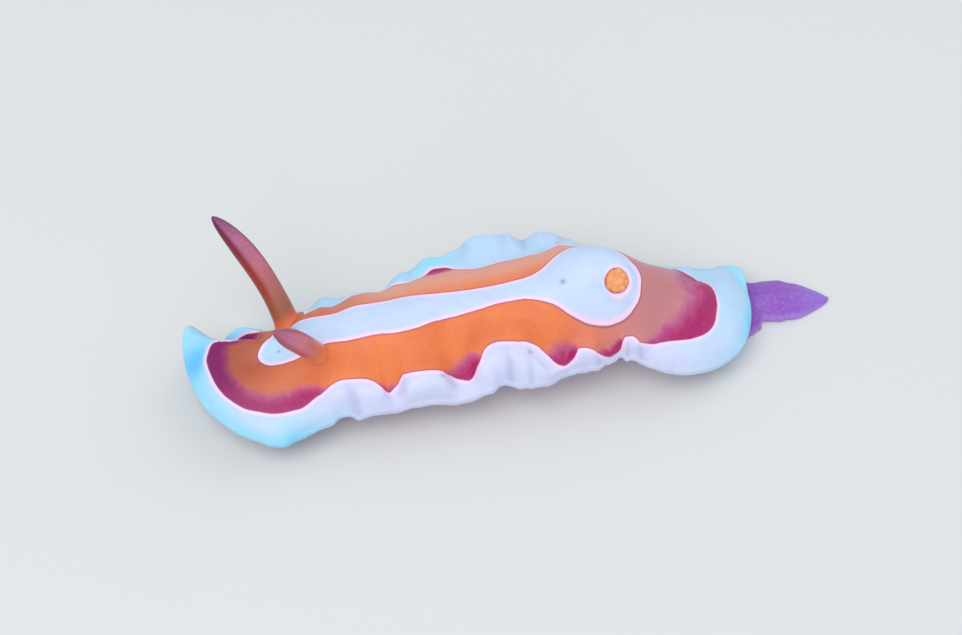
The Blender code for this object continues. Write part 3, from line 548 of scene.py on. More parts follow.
def stripeDistance(s, n):  # below 0 on the white midline
    far, near = smoothCurve(stripe["far"]), smoothCurve(stripe["near"])
    start, end = stripe["far"][0][0], stripe["far"][-1][0]
    turn = np.linspace(0, math.pi, stripe["samples"])
    at = start + (end - start) * (1 - np.cos(turn)) / 2
    outline = np.concatenate([np.stack([at, far(at)], axis=1), np.stack([at, near(at)], axis=1)])
    away = nearestDistance(np.stack([s, n], axis=-1).reshape(-1, 2), outline).reshape(s.shape)
    within = (s > start) & (s < end) & (n < far(s)) & (n > near(s))
    return np.where(within, -away, away)


def rowList():
    quarter = np.linspace(0, math.pi / 2, mantle["turnRows"] + 1)
    front = mantle["frontTurn"] * (1 - np.cos(quarter))
    rear = mantle["length"] - mantle["rearTurn"] * (1 - np.cos(quarter[::-1]))
    middle = density(mantle["frontTurn"], mantle["length"] - mantle["rearTurn"], mantle["rowSpacing"],
                     mantle["closerRows"])
    return np.concatenate([front[:-1], middle, rear[1:]])


def mantleSkin():
    rows = rowList()
    sweep = sweepPlace(rows)
    shares = density(0, 1, mantle["columnSpacing"], mantle["closerColumns"])
    between = np.linspace(0, 1, mantle["whiteSteps"], endpoint=False)[:, None, None]
    halves, whites = [], []
    for side, other, sign in ((leftSide, rightSide, -1), (rightSide, leftSide, 1)):
        guides, top, under = sideGrid(side, other, sign, rows, shares)
        line, lineShares = whiteLine(side, guides, sweep)
        line = place(*line.T)
        whites.append((line[:-1] * (1 - between) + line[1:] * between).reshape(-1, 3))
        rim = rimRings(guides, top, under)
        halves.append(dict(side=side, top=top, rim=rim, under=under, lineShares=lineShares))
    for half in halves:
        s, n, z = np.moveaxis(half["top"], -1, 0)
        world = place(s, n, z)
        away = nearestDistance(world.reshape(-1, 3), np.concatenate(whites)).reshape(s.shape)
        inside = np.where(shares[None, :] < half["lineShares"][:, None], away, -away)
        half["layers"] = topLayers(half["side"], rows, sweep[:, None] + 0 * s, s, n, shares + 0 * s, inside)
        half["world"] = dentAndRaise(world)
    return stitchMantle(*halves)


def topLayers(side, rows, sweep, s, n, share, inside):
    farBase = rhinophores["rhinophore_right"]  # it stands on the margin, with orange round its foot
    orange = collar["orangeRadius"] - np.hypot(s - farBase["s"], n - farBase["n"])
    fromPocket = np.hypot(s - pocket["s"], n - pocket["n"])
    far = grow("far", n)
    # painted shade at the front of the back, on the near side and, with far, on the far side
    umber = shrink("frontShadeAlong", s) * (1 - shrink("frontShadeAcross", n))
    return fullLayers(
        s, whiteEdge=np.maximum(inside, orange), stripeEdge=stripeDistance(s, n),
        magenta=magentaMask(side, sweep, share), plum=shrink("plumAlong", s) * (1 - shrink("plumAcross", n)),
        # painted haze: light painted onto the far side of the back
        dusk=grow("dusk", s), haze=far * grow("haze", s),
        umber=np.maximum(umber, far * shrink("frontShadeFar", s)), cool=paintedCoolLight(s, n, share),
        speck=np.clip(sum(bell(np.hypot(s - a, n - b), radius) for a, b, radius in specks), 0, 1),
        # painted shade in the pleats' creases
        crease=np.clip(-pleatHeight(side, rows, s, share) / creaseShadeDepth, 0, 1),
        # painted highlight round the gill pocket's rim
        pocketGlow=bell(fromPocket - pocket["highlightRadius"], pocket["highlightWidth"]),
    )


def paintedCoolLight(s, n, share):  # painted cool light: how blue the white is painted, most at the far side, the head's rim and the rear rim, where the cyan light falls
    cool = (
        leastCoolLight + grow("coolAcross", n) + shrink("coolFront", s) + grow("coolRear", s)
        + grow("coolFar", n) * (1 - grow("coolFarRear", s))
        + shrink("coolHead", s) * (1 - shrink("coolHeadNear", n)) * grow("coolOuter", share)
        + grow("coolRim", share) * (shrink("coolRimFront", s) + grow("coolRimRear", s))
    )
    return np.clip(cool, 0, 1) + sum(deep * bell(np.hypot(s - a, n - b), r) for a, b, r, deep in coolLightPatches)


def dentAndRaise(world):  # a collar round each rhinophore, and the pocket of the gills with its rim
    moved = world.copy()
    for size in rhinophores.values():
        base, _ = surfaceFrame(size["s"], size["n"])
        axis = np.array(size["axis"]) / np.linalg.norm(size["axis"])
        offset = world - base
        raised = collar["height"] * bell(axisDistance(offset, axis) - collar["radius"], collar["width"])
        moved[..., 2] += raised * (np.abs(offset @ axis) < collar["within"])
    centre, out = surfaceFrame(pocket["s"], pocket["n"])
    offset = world - centre
    radius = axisDistance(offset, out)
    lift = pocket["rimHeight"] * bell(radius - pocket["rimRadius"], pocket["rimWidth"])
    lift -= pocket["depth"] * (1 - ramp(radius, pocket["mouth"] - pocket["wall"], pocket["wall"]))
    near = np.linalg.norm(offset, axis=-1) < pocket["within"]
    return moved + out * (lift * near)[..., None]


def stitchMantle(left, right):  # rings round the whole mantle: over the top, then back under it
    rings = [left["world"][:, ::-1], right["world"][:, 1:]]
    values = {name: [left["layers"][name][:, ::-1], right["layers"][name][:, 1:]] for name in layerNames}
    lowSides = (
        (right, np.concatenate([right["rim"], right["under"]], axis=1)),
        (left, np.concatenate([left["under"][:, -2::-1], left["rim"][:, ::-1]], axis=1)),
    )
    for half, lowSide in lowSides:
        s, n, z = np.moveaxis(lowSide, -1, 0)
        world = place(s, n, z)
        edge = place(*np.moveaxis(half["top"][:, -1], -1, 0))
        fromRim = np.linalg.norm(world - edge[:, None], axis=-1)
        rings.append(world)
        # painted cool light reaches round the rim and under it
        low = fullLayers(s, cool=paintedCoolLight(s, n, 1 + 0 * s), lower=grow("underside", fromRim))
        for name in layerNames:
            values[name].append(low[name])
    layers = {name: np.concatenate(parts, axis=1) for name, parts in values.items()}
    return skinPart(np.concatenate(rings, axis=1), layers, capped=False)


# Foot, body wall and tail in one loft

lowerBody = dict(
    start=3.1, end=26.6, spacing=0.13, closerRows=((26.6, 0.6, 0.05), (3.1, 0.4, 0.05)), fineSteps=4,
    shift=((2, 0), (12, 0), (15, 0.25), (17.5, 0.75), (20, 0.5), (22, 0.36), (25.2, 0.42), (26.6, 0.62)),
    footWidth=((3.1, 1.2), (4.5, 1.85), (6, 1.8), (6.9, 1.72), (8, 1.9), (10, 1.95), (12, 1.75), (13, 1.6),
               (14, 1.7), (16, 1.5), (18, 1.4), (21, 1.4), (22.6, 1.35), (23.15, 1.3), (23.75, 1.0),
               (24.8, 0.96), (25.4, 0.8), (25.9, 0.56), (26.3, 0.33), (26.6, 0.08)),
    wallWidth=((3.1, 0.9), (4.6, 1.5), (9, 1.65), (14, 1.6), (18, 1.35), (20.2, 0.95), (21.5, 0.7)),
    tailHeight=((20, 0.75), (21, 0.6), (22.4, 0.5), (23.2, 0.52), (24.1, 0.8), (25.3, 0.66), (26.6, 0.26)),
    # half a section, sole to back: shares of the foot's and the wall's width, height, share of the top
    body=((0, 0, 0, 0), (0.5, 0, 0, 0), (0.86, 0, 0, 0), (0.97, 0, 0.06, 0), (1, 0, 0.16, 0),
          (0.98, 0, 0.27, 0), (0.9, 0, 0.36, 0), (0.45, 0.5, 0.44, 0), (0, 1.02, 0.6, 0), (0, 1, 0.3, 0.5),
          (0, 0.92, 0, 1), (0, 0.45, 0.05, 1), (0, 0, 0.06, 1)),
    # the same for the tail: shares of the foot's width and of the tail's height
    tail=((0, 0), (0.5, 0), (0.86, 0), (0.97, 0.06), (1, 0.2), (0.96, 0.36), (0.86, 0.5), (0.7, 0.62),
          (0.54, 0.74), (0.38, 0.85), (0.24, 0.93), (0.11, 0.98), (0, 1)),
    sunk=0.4, tailGrowth=(19.9, 1.4), frontRound=0.55, bluntest=0.97, wallBlunt=0.5,
    waves=((1.1, 0.035, 0.3), (0.6, 0.02, 1.7)), wavesFrom=4, wavesTo=26, edgeTop=0.5, soleTop=0.02,
    edgeViolet=0.75, soleViolet=0.4, plum=0.8,
)


def lowerSkin():
    size = lowerBody
    rows = density(size["start"], size["end"], size["spacing"], size["closerRows"])
    foot, wall, height, shift = (
        smoothCurve(size[key])(rows) for key in ("footWidth", "wallWidth", "tailHeight", "shift")
    )
    top = smoothCurve(mantle["underside"])(rows) + size["sunk"]
    tail = ramp(rows, *size["tailGrowth"])
    rounding = (size["start"] + size["frontRound"] - rows) / size["frontRound"]
    blunt = np.sqrt(1 - np.clip(rounding, 0, size["bluntest"]) ** 2)
    foot, wall = foot * blunt, wall * (1 - size["wallBlunt"] + size["wallBlunt"] * blunt)
    calm = smoothStep(rows - size["wavesFrom"]) * smoothStep(size["wavesTo"] - rows)
    foot = foot + waves(size["waves"], rows) * calm
    body = np.array([[a * foot + b * wall, c + d * top] for a, b, c, d in size["body"]])
    keel = np.array([[a * foot, b * height] for a, b in size["tail"]])
    half = refine(body * (1 - tail) + keel * tail, size["fineSteps"])  # (point, across or up, row)
    across = np.concatenate([half[:, 0], -half[-2:0:-1, 0]]).T
    z = np.maximum(np.concatenate([half[:, 1], half[-2:0:-1, 1]]).T, 0)
    s = np.broadcast_to(rows[:, None], across.shape)
    points = place(s, across + shift[:, None], z)
    out = np.abs(across) / foot[:, None]
    edge = grow("footEdge", out) * (z < size["edgeTop"])
    tailness = grow("tail", s)
    violet = np.maximum(tailness, size["edgeViolet"] * edge)
    violet = violet - size["soleViolet"] * (z < size["soleTop"]) * (1 - tailness)
    layers = fullLayers(
        s, magenta=shrink("tailMagenta", s) * tailness, plum=size["plum"], dusk=grow("flankDusk", z),
        # on the lower body this layer is only the tail tip's own blue, no painted light
        cool=grow("tailCool", s), lower=1, violet=np.clip(violet, 0, 1),
        rimGlow=edge * (1 - tailness) + tailness * grow("tailGlow", out),
    )
    return skinPart(points, layers)


def refine(points, steps):  # a smooth curve through each row of points, mirrored past its two ends
    mirror = np.array([-1, 1])[:, None]
    padded = np.concatenate([points[1:2] * mirror, points, points[-2:-1] * mirror])
    made = []
    for i in range(1, len(padded) - 2):
        before, start, end, after = padded[i - 1:i + 3]
        for t in np.arange(steps) / steps:
            made.append(hermite(t, start, (end - before) / 2, end, (after - start) / 2))
    made.append(padded[-2])
    return np.array(made)


# Head with its mouth and the two oral tentacles

headShape = dict(
    rows=46, sides=40, start=0.93, end=4.4, crowding=1.6,
    width=((0.93, 0.02), (0.98, 0.22), (1.1, 0.42), (1.35, 0.6), (1.8, 0.76), (3.05, 0.98), (4.4, 1.2)),
    middle=((0.93, 0.75), (2.2, 0.76), (3.2, 0.95), (4.4, 1.3)),
    tall=((0.93, 0.02), (0.98, 0.17), (1.1, 0.27), (1.4, 0.35), (2.2, 0.42), (3.2, 0.62), (4.4, 0.8)),
    tint=dict(dusk=0.25, cool=0.2),
)
mouth = dict(s=0.95, z=0.74, width=0.13, height=0.44, depth=0.3, lip=0.05, lipOut=0.12, lipWidth=0.07,
             lipTall=0.6, lipTo=1.4, sides=24, rings=14)
tentacle = dict(
    s=1.7, n=1.2, z=0.75, axis=(-0.85, 0.12, -0.1), length=0.75, radius=0.25, sides=24,
    profile=((-1.3, 1.05), (0, 1), (0.375, 0.88), (0.6375, 0.62), (0.75, 0.08)),  # distance, share of radius
    domeShare=0.3, rings=18, domeRings=9, tint=dict(dusk=0.15, cool=0.3, rimGlow=0.4),
)


def headSkin():
    start, end = headShape["start"], headShape["end"]
    rows = start + (end - start) * np.linspace(0, 1, headShape["rows"]) ** headShape["crowding"]
    angle = np.linspace(0, 2 * math.pi, headShape["sides"], endpoint=False)
    width, middle, tall = (smoothCurve(headShape[key])(rows)[:, None] for key in ("width", "middle", "tall"))
    n, z = width * np.cos(angle), middle + tall * np.sin(angle)
    lips = mouth["lip"] * bell(np.abs(n) - mouth["lipOut"], mouth["lipWidth"])
    lips = lips * bell(z - mouth["z"], mouth["height"] * mouth["lipTall"])
    s = rows[:, None] - lips * (rows[:, None] < mouth["lipTo"])
    return skinPart(place(s, n, z), fullLayers(s, lower=1, **headShape["tint"]))


def turned(base, axis, profile, sides, bend=(0, 0, 0), length=1.0):  # rings from (distance, radius)
    axis = np.array(axis) / np.linalg.norm(axis)
    across = np.cross(axis, (0, 1, 0))
    across = across / np.linalg.norm(across)
    other = np.cross(axis, across)
    angle = np.linspace(0, 2 * math.pi, sides, endpoint=False)[:, None]
    rings = []
    for distance, radius in profile:
        share = max(distance, 0) / length
        centre = np.array(base) + axis * distance + np.array(bend) * 4 * share * (1 - share)
        rings.append(centre + (across * np.cos(angle) + other * np.sin(angle)) * radius)
    return np.array(rings)


def tentacleSkin(sign):
    size, length = tentacle, tentacle["length"]
    base = place(size["s"], sign * size["n"], size["z"])
    forward, outward, up = size["axis"]
    tip = place(size["s"] + forward, sign * (size["n"] + outward), size["z"] + up)
    radius = smoothCurve([(distance, size["radius"] * share) for distance, share in size["profile"]])
    dome = 1 - size["domeShare"] * np.cos(np.linspace(0, math.pi / 2, size["domeRings"]))
    stalk = np.linspace(size["profile"][0][0], dome[0] * length, size["rings"])
    places = np.concatenate([stalk, length * dome[1:]])
    rings = turned(base, tip - base, [(p, float(radius(p))) for p in places], size["sides"], length=length)
    return skinPart(rings, fullLayers(rings[..., 0], lower=1, **size["tint"]))


def mouthSlit():
    builder = bmesh.new()
    bmesh.ops.create_uvsphere(builder, u_segments=mouth["sides"], v_segments=mouth["rings"], radius=1)
    verts = np.array([v.co[:] for v in builder.verts])
    faces = [[v.index for v in face.verts] for face in builder.faces]
    builder.free()
    turn = math.radians(float(heading(mouth["s"])))
    x, y, z = (verts * (mouth["depth"], mouth["width"] / 2, mouth["height"] / 2)).T
    verts = [x * math.cos(turn) - y * math.sin(turn), x * math.sin(turn) + y * math.cos(turn), z]
    return makeObject("slit", np.stack(verts, axis=1) + place(mouth["s"], 0, mouth["z"]), faces)


skinNodes = (
    "mantle_front", "mantle_middle", "mantle_rear", "head", "oral_tentacle_left", "oral_tentacle_right",
    "trunk_front", "trunk_rear", "foot_front", "foot_middle", "foot_rear", "tail",
)


def buildSkin():
    sources = dict(mantle=mantleSkin(), lower=lowerSkin(), head=headSkin(),
                   leftTentacle=tentacleSkin(-1), rightTentacle=tentacleSkin(1))
    print("skin surfaces:", {name: len(source[0]) for name, source in sources.items()})
    objects = {name: makeObject(name, source[0], source[1]) for name, source in sources.items()}
    unite(objects["head"], [mouthSlit()], "DIFFERENCE")
    skin = objects["mantle"]
    unite(skin, [objects[name] for name in sources if name != "mantle"])
    skin.name = "skin"
    mesh = skin.data
    mesh.name = "skin"
    nearest = nearestPoints(mesh, np.concatenate([source[0] for source in sources.values()]))
    for name in layerNames:
        setValues(mesh, name, np.concatenate([source[2][name] for source in sources.values()])[nearest])
    mesh.shade_smooth()
    print("skin joined:", len(mesh.vertices), "points,", len(mesh.polygons), "faces")
    return skin


# Rhinophores: stalk, then a club of fine slanting leaves that tapers to a point

rhinophoreShape = dict(
    leaves=((0.3, 0.05), (0.89, 0.06)),  # where they grow and where they end, each with its length
    leafPitch=0.125, leafDepth=0.014, slant=0.12, sunk=0.5, flare=(-0.05, 0.4),
    sides=44, rings=240, tipFrom=0.93, tipRings=20, ridge=(0.1, 0.3), streak=(0.55, 0.4),
)


def buildRhinophore(name, size):
    shape, length = rhinophoreShape, size["length"]
    base, _ = surfaceFrame(size["s"], size["n"])
    dome = shape["tipFrom"] + (1 - shape["tipFrom"]) * np.sin(np.linspace(0, math.pi / 2, shape["tipRings"]))
    t = np.concatenate([np.linspace(-shape["sunk"] / length, dome[0], shape["rings"]), dome[1:]])
    rings = turned(base, size["axis"], [(a * length, 1.0) for a in t], shape["sides"], size["bend"], length)
    centre = rings.mean(axis=1, keepdims=True)
    angle = np.linspace(0, 2 * math.pi, shape["sides"], endpoint=False)[None, :]
    along = np.clip(t, 0, 1)[:, None]
    phase = (along * length + shape["slant"] * np.cos(angle)) / shape["leafPitch"]
    facing = np.abs((rings - centre) @ (np.array(size["facing"]) / np.linalg.norm(size["facing"])))
    begin, end = shape["leaves"]
    leafy = ramp(along, *begin) * (1 - ramp(along, *end))
    leafy = leafy * ramp(facing, *shape["ridge"])  # the leaves meet in a smooth ridge down two sides
    groove = (0.5 + 0.5 * np.cos(2 * math.pi * phase)) ** 2 * leafy
    radius = smoothCurve(size["radius"])(along) - shape["leafDepth"] * groove
    radius = radius + size["flare"] * (1 - ramp(t[:, None] * length, *shape["flare"]))
    rings = centre + (rings - centre) * radius[..., None]
    rhinophore = makeTube(name, rings)
    nearest = nearestPoints(rhinophore.data, rings.reshape(-1, 3))
    # painted sheen on the side that faces the given way
    layers = dict(along=along, groove=groove, streak=ramp(facing, *shape["streak"]), lift=size["lift"])
    for layer, values in layers.items():
        setValues(rhinophore.data, layer, (values + 0 * groove).reshape(-1)[nearest])
    return rhinophore


# Gills drawn into their pocket

gillShape = dict(
    core=((-0.4, 0.47), (-0.08, 0.47), (-0.02, 0.45), (0.02, 0.38), (0.05, 0.2)), coreSides=40,
    # a ring of tips: how many, radius of the ring and of a tip, height, lean inwards
    rings=((8, 0.3, 0.17, 0.06, 0.25), (4, 0.13, 0.16, 0.1, 0.1)),
    sides=18, root=-0.3, dome=0.12, domeRings=8, domeShare=0.97,
    variation=((0.08, 3.7), (0.3, 2.3)),  # in place and in height: share, and turn from one tip to the next
)


def buildGills():
    shape = gillShape
    centre, out = surfaceFrame(pocket["s"], pocket["n"])
    gills = makeTube("gills", turned(centre, out, shape["core"], shape["coreSides"]))
    quarter = np.linspace(0, math.pi / 2, shape["domeRings"])
    tips = []
    for count, ring, radius, top, lean in shape["rings"]:
        for k, root in enumerate(turned(centre, out, [(0, ring), (1, 0)], count)[0]):
            inward, uneven = (share * math.sin(turn * k + count) for share, turn in shape["variation"])
            root = root + (centre - root) * inward
            rise = top * (1 + uneven) - shape["dome"] + shape["dome"] * np.sin(quarter)
            heights = [shape["root"], -shape["dome"], *rise]
            radii = radius * np.concatenate([[1, 1], np.cos(quarter * shape["domeShare"])])
            axis = out + (centre - root) / ring * lean
            tips.append(makeTube("tip", turned(root, axis, list(zip(heights, radii)), shape["sides"])))
    unite(gills, tips)
    setValues(gills.data, "rise", (vertexArray(gills.data) - centre) @ out)
    gills.data.shade_smooth()
    return gills


# Shader maths

class Wire:  # a socket that takes part in sums, so that 1 - mask adds a Math node
    def __init__(self, tree, socket=None):
        self.tree, self.socket = tree, socket

    def node(self, kind, settings=None, sockets=None, out=0):
        made = self.tree.nodes.new("ShaderNode" + kind)
        for name, value in (settings or {}).items():
            if name == "stops":
                setStops(made.color_ramp, value)
            else:
                setattr(made, name, value)
        for name, value in (sockets or {}).items():
            if isinstance(value, Wire):
                self.tree.links.new(value.socket, made.inputs[name])
            else:
                made.inputs[name].default_value = value
        return Wire(self.tree, made.outputs[out])

    def maths(self, operation, first, second):
        return self.node("Math", dict(operation=operation), {0: first, 1: second})

    def __add__(self, other):
        return self.maths("ADD", self, other)

    def __radd__(self, other):
        return self.maths("ADD", other, self)

    def __sub__(self, other):
        return self.maths("SUBTRACT", self, other)

    def __rsub__(self, other):
        return self.maths("SUBTRACT", other, self)

    def __mul__(self, other):
        return self.maths("MULTIPLY", self, other)

    def __rmul__(self, other):
        return self.maths("MULTIPLY", other, self)

    def step(self, low, high):  # 0 below low, 1 above high, smooth between
        return self.node("MapRange", dict(interpolation_type="SMOOTHSTEP"), {0: self, 1: low, 2: high})

    def attribute(self, name):
        return self.node("Attribute", dict(attribute_name=name), out=2)

    def noise(self, size, detail=3.0, roughness=0.5):  # size of the blotches in millimetres
        where = self.node("TexCoord", out=3)
        return self.node("TexNoise", None, {"Vector": where, "Scale": 1 / (size * mm), "Detail": detail,
                                            "Roughness": roughness})

    def mix(self, factor, first, second):
        return self.node("Mix", dict(data_type="RGBA"), {0: factor, 6: first, 7: second}, out=2)


def setStops(ramp, stops):
    while len(ramp.elements) < len(stops):
        ramp.elements.new(1)
    for element, (at, colour) in zip(ramp.elements, stops):
        element.position, element.color = at, colour


def shade(red, green, blue):  # a colour as seen on a display, in the linear values that Blender mixes
    return (*((c / 12.92 if c <= 0.04045 else ((c + 0.055) / 1.055) ** 2.4) for c in (red, green, blue)), 1.0)


finish = dict(scatterScale=0.35 * mm, coatRoughness=0.22, shine=0.28)  # shared by all three materials


def newMaterial(name, colour, roughness, bump, scatter, reach, coat):
    made = bpy.data.materials.new(name)
    made.use_nodes = True
    tree = made.node_tree
    shader = tree.nodes["Principled BSDF"]
    for socket, build in (("Base Color", colour), ("Roughness", roughness), ("Normal", bump)):
        tree.links.new(build(Wire(tree)).socket, shader.inputs[socket])
    fixed = {
        "Subsurface Weight": scatter, "Subsurface Radius": reach, "Subsurface Scale": finish["scatterScale"],
        "Coat Weight": coat, "Coat Roughness": finish["coatRoughness"], "Specular IOR Level": finish["shine"],
    }
    for socket, value in fixed.items():
        shader.inputs[socket].default_value = value
    return made


skinFinish = dict(
    orange=shade(0.93, 0.52, 0.3), orangeDeep=shade(0.86, 0.42, 0.26), dusk=shade(0.77, 0.52, 0.55),
    paintedHazeDusk=shade(0.76, 0.56, 0.64), haze=shade(0.92, 0.66, 0.58), umber=shade(0.64, 0.34, 0.28),
    crimson=shade(0.68, 0.1, 0.4), plum=shade(0.5, 0.1, 0.4), halo=shade(0.75, 0.38, 0.63),
    haloPlum=shade(0.62, 0.24, 0.42), lilacWhite=shade(0.85, 0.85, 0.97), coolLitWhite=shade(0.63, 0.88, 1.0),
    cyanLight=shade(0.36, 0.78, 1.0), creaseShadeAndMottleWhite=shade(0.62, 0.6, 0.76), pinkLineAndRimHighlight=shade(1.0, 0.84, 0.95),
    mauveLine=shade(0.52, 0.3, 0.46), speck=shade(0.45, 0.42, 0.5),
    flank=shade(0.86, 0.6, 0.56), flankPale=shade(0.9, 0.76, 0.78), violet=shade(0.56, 0.33, 0.74),
    violetTip=shade(0.58, 0.42, 0.82), violetEdge=shade(0.76, 0.66, 0.92),
    # millimetres
    edgeSharpness=0.022, edgeWander=0.05, wanderSize=0.7, pinkRange=(-0.208, -0.026), mauveWidth=0.085,
    grainSize=0.12, blotchSize=1.6, cloudSize=0.9, magentaSize=0.4, roughnessSize=0.5,
    # where a mask begins and ends
    grainRange=(0.35, 0.75), blotchRange=(0.3, 0.7), cloudRange=(0.4, 0.75), magentaEdge=(0.0, 0.3),
    haloRange=(0.0, 0.6), berryRange=(0.12, 1.0), cyanLightRange=(1.0, 1.7), roughness=(0.36, 0.52),
    # how strong a colour is at most
    amount=dict(blotch=0.5, grain=0.18, haze=0.8, dusk=0.9, umber=0.9, magentaNoise=0.7, halo=0.75,
                berryGrain=0.1, mauve=0.8, crease=0.3, cloud=0.12, pink=0.9, speck=0.75, flank=0.25,
                tailBerry=0.6, rimGlow=0.7, tailGrain=0.2),
)


def skinColour(wire):
    look, amount = skinFinish, skinFinish["amount"]
    wander = (wire.noise(look["wanderSize"], 2) - 0.5) * look["edgeWander"]
    white = wire.attribute("whiteEdge") + wander
    stripeEdge = wire.attribute("stripeEdge") + wander
    nearest = wire.maths("MINIMUM", white, stripeEdge)  # above 0 on the coloured back
    grain = wire.noise(look["grainSize"], 3).step(*look["grainRange"])
    blotch = wire.noise(look["blotchSize"], 3).step(*look["blotchRange"])
    haze, plum, dusk, cool = (wire.attribute(name) for name in ("haze", "plum", "dusk", "cool"))

    back = wire.mix(blotch * amount["blotch"] + grain * amount["grain"], look["orange"], look["orangeDeep"])
    # painted haze: the far side of the back paler and pinker, as light lies on it
    back = wire.mix(haze * amount["haze"], back, look["haze"])
    back = wire.mix(dusk * amount["dusk"], back, wire.mix(haze, look["dusk"], look["paintedHazeDusk"]))
    # painted shade darkens the front of the back, where its slope faces the light
    back = wire.mix(wire.attribute("umber") * amount["umber"], back, look["umber"])
    even = wire.attribute("magenta")
    noise = wire.noise(look["magentaSize"], 4, 0.7) - 0.5
    magenta = even + noise * even.step(*look["magentaEdge"]) * amount["magentaNoise"]
    halo = wire.mix(plum, look["halo"], look["haloPlum"])
    back = wire.mix(magenta.step(*look["haloRange"]) * amount["halo"], back, halo)
    berry = wire.mix(plum, look["crimson"], look["plum"])
    strength = 1 - amount["berryGrain"] + amount["berryGrain"] * grain
    back = wire.mix(magenta.step(*look["berryRange"]) * strength, back, berry)
    back = wire.mix((1 - nearest.step(0.0, look["mauveWidth"])) * amount["mauve"], back, look["mauveLine"])

    # painted cool light: the white turns blue and then cyan where the cyan light falls on it
    pale = wire.mix(cool, look["lilacWhite"], look["coolLitWhite"])
    pale = wire.mix(cool.step(*look["cyanLightRange"]), pale, look["cyanLight"])
    # painted shade in the creases; the same grey-lilac, with the cloud noise, is the white's own mottle
    pale = wire.mix(wire.attribute("crease") * amount["crease"], pale, look["creaseShadeAndMottleWhite"])
    cloud = wire.noise(look["cloudSize"], 3).step(*look["cloudRange"])
    pale = wire.mix(cloud * amount["cloud"], pale, look["creaseShadeAndMottleWhite"])
    # the pink line along the white's edge, and a painted highlight round the gill pocket's rim
    line = wire.maths("MAXIMUM", nearest.step(*look["pinkRange"]), wire.attribute("pocketGlow"))
    pale = wire.mix(line * amount["pink"], pale, look["pinkLineAndRimHighlight"])
    pale = wire.mix(wire.attribute("speck") * amount["speck"], pale, look["speck"])
    colour = wire.mix(nearest.step(-look["edgeSharpness"], look["edgeSharpness"]), pale, back)

    under = wire.mix(dusk, look["flankPale"], look["flank"])
    under = wire.mix(blotch * amount["flank"], under, look["flankPale"])
    # the tail's own blue tip
    tail = wire.mix(cool, look["violet"], look["violetTip"])
    tail = wire.mix(even * amount["tailBerry"], tail, berry)
    tail = wire.mix(wire.attribute("rimGlow") * amount["rimGlow"], tail, look["violetEdge"])
    tail = wire.mix(grain * amount["tailGrain"], tail, look["violetEdge"])
    under = wire.mix(wire.attribute("violet"), under, tail)
    return wire.mix(wire.attribute("lower"), colour, under)


def skinRoughness(wire):
    low, high = skinFinish["roughness"]
    return wire.noise(skinFinish["roughnessSize"], 3) * (high - low) + low


def fineBump(wire, height, *sizes):  # height in millimetres, then blotch sizes with their shares
    relief = sum(wire.noise(size, 3) * share for size, share in sizes)
    return wire.node("Bump", None, {"Strength": 1.0, "Distance": height * mm, "Height": relief})


rhinophoreFinish = dict(
    skin=((0.0, shade(0.82, 0.42, 0.3)), (0.15, shade(0.64, 0.36, 0.24)), (0.35, shade(0.62, 0.24, 0.15)),
          (0.55, shade(0.6, 0.16, 0.16)), (0.8, shade(0.48, 0.09, 0.2)), (1.0, shade(0.38, 0.1, 0.3))),
    # the colours of the painted sheen along the length
    streak=((0.0, shade(0.8, 0.44, 0.33)), (0.15, shade(0.62, 0.41, 0.31)), (0.35, shade(0.74, 0.46, 0.45)),
            (0.55, shade(0.8, 0.5, 0.58)), (0.8, shade(0.74, 0.45, 0.62)), (1.0, shade(0.44, 0.25, 0.44))),
    groove=shade(0.42, 0.1, 0.17), grooveShadeAmount=0.12, paintedLitColour=shade(1.0, 0.56, 0.6),
    paintedSheenAmount=(0.82, 0.35), paintedSheenSize=0.16,  # the painted sheen's mean amount and its variation, and their blotches
    base=shade(0.95, 0.53, 0.34), baseLength=(0.14, 0.9),  # share of the length, and more where painted light lifts it
)
gillFinish = dict(
    # deep: painted shade low in the pocket
    tip=shade(0.96, 0.72, 0.5), body=shade(0.93, 0.62, 0.4), deep=shade(0.84, 0.5, 0.34),
    bodyRange=(-0.12, 0.03), tipRange=(0.02, 0.13), tipSize=0.2, tipSpread=(0.3, 0.6),
)


def rhinophoreColour(wire):
    look = rhinophoreFinish
    along, groove = wire.attribute("along"), wire.attribute("groove")
    skin, streak = (wire.node("ValToRGB", dict(stops=look[key]), {0: along}) for key in ("skin", "streak"))
    mean, variation = look["paintedSheenAmount"]
    amount = mean + variation * (wire.noise(look["paintedSheenSize"], 3) - 0.5)
    # painted sheen down the side that faces the light
    colour = wire.mix(wire.attribute("streak") * amount, skin, streak)
    lift = wire.attribute("lift")
    # painted light: the near rhinophore drawn lighter
    colour = wire.mix(lift, colour, look["paintedLitColour"])
    least, more = look["baseLength"]
    colour = wire.mix(1 - along.step(0.0, lift * more + least), colour, look["base"])
    # painted shade in the grooves between the leaves
    return wire.mix(groove * look["grooveShadeAmount"], colour, look["groove"])


def gillColour(wire):
    look = gillFinish
    rise = wire.attribute("rise")
    # painted shade: the gills darker low in the pocket
    colour = wire.mix(rise.step(*look["bodyRange"]), look["deep"], look["body"])
    spread = wire.noise(look["tipSize"], 2).step(*look["tipSpread"])
    return wire.mix(rise.step(*look["tipRange"]) * spread, colour, look["tip"])


def finishPiece(piece, material, nodes):
    piece.data.materials.clear()
    piece.data.materials.append(material)
    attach(piece, "root")
    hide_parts(*nodes)


def moistRoughness(wire):
    return wire.noise(0.3, 2) * 0.2 + 0.3


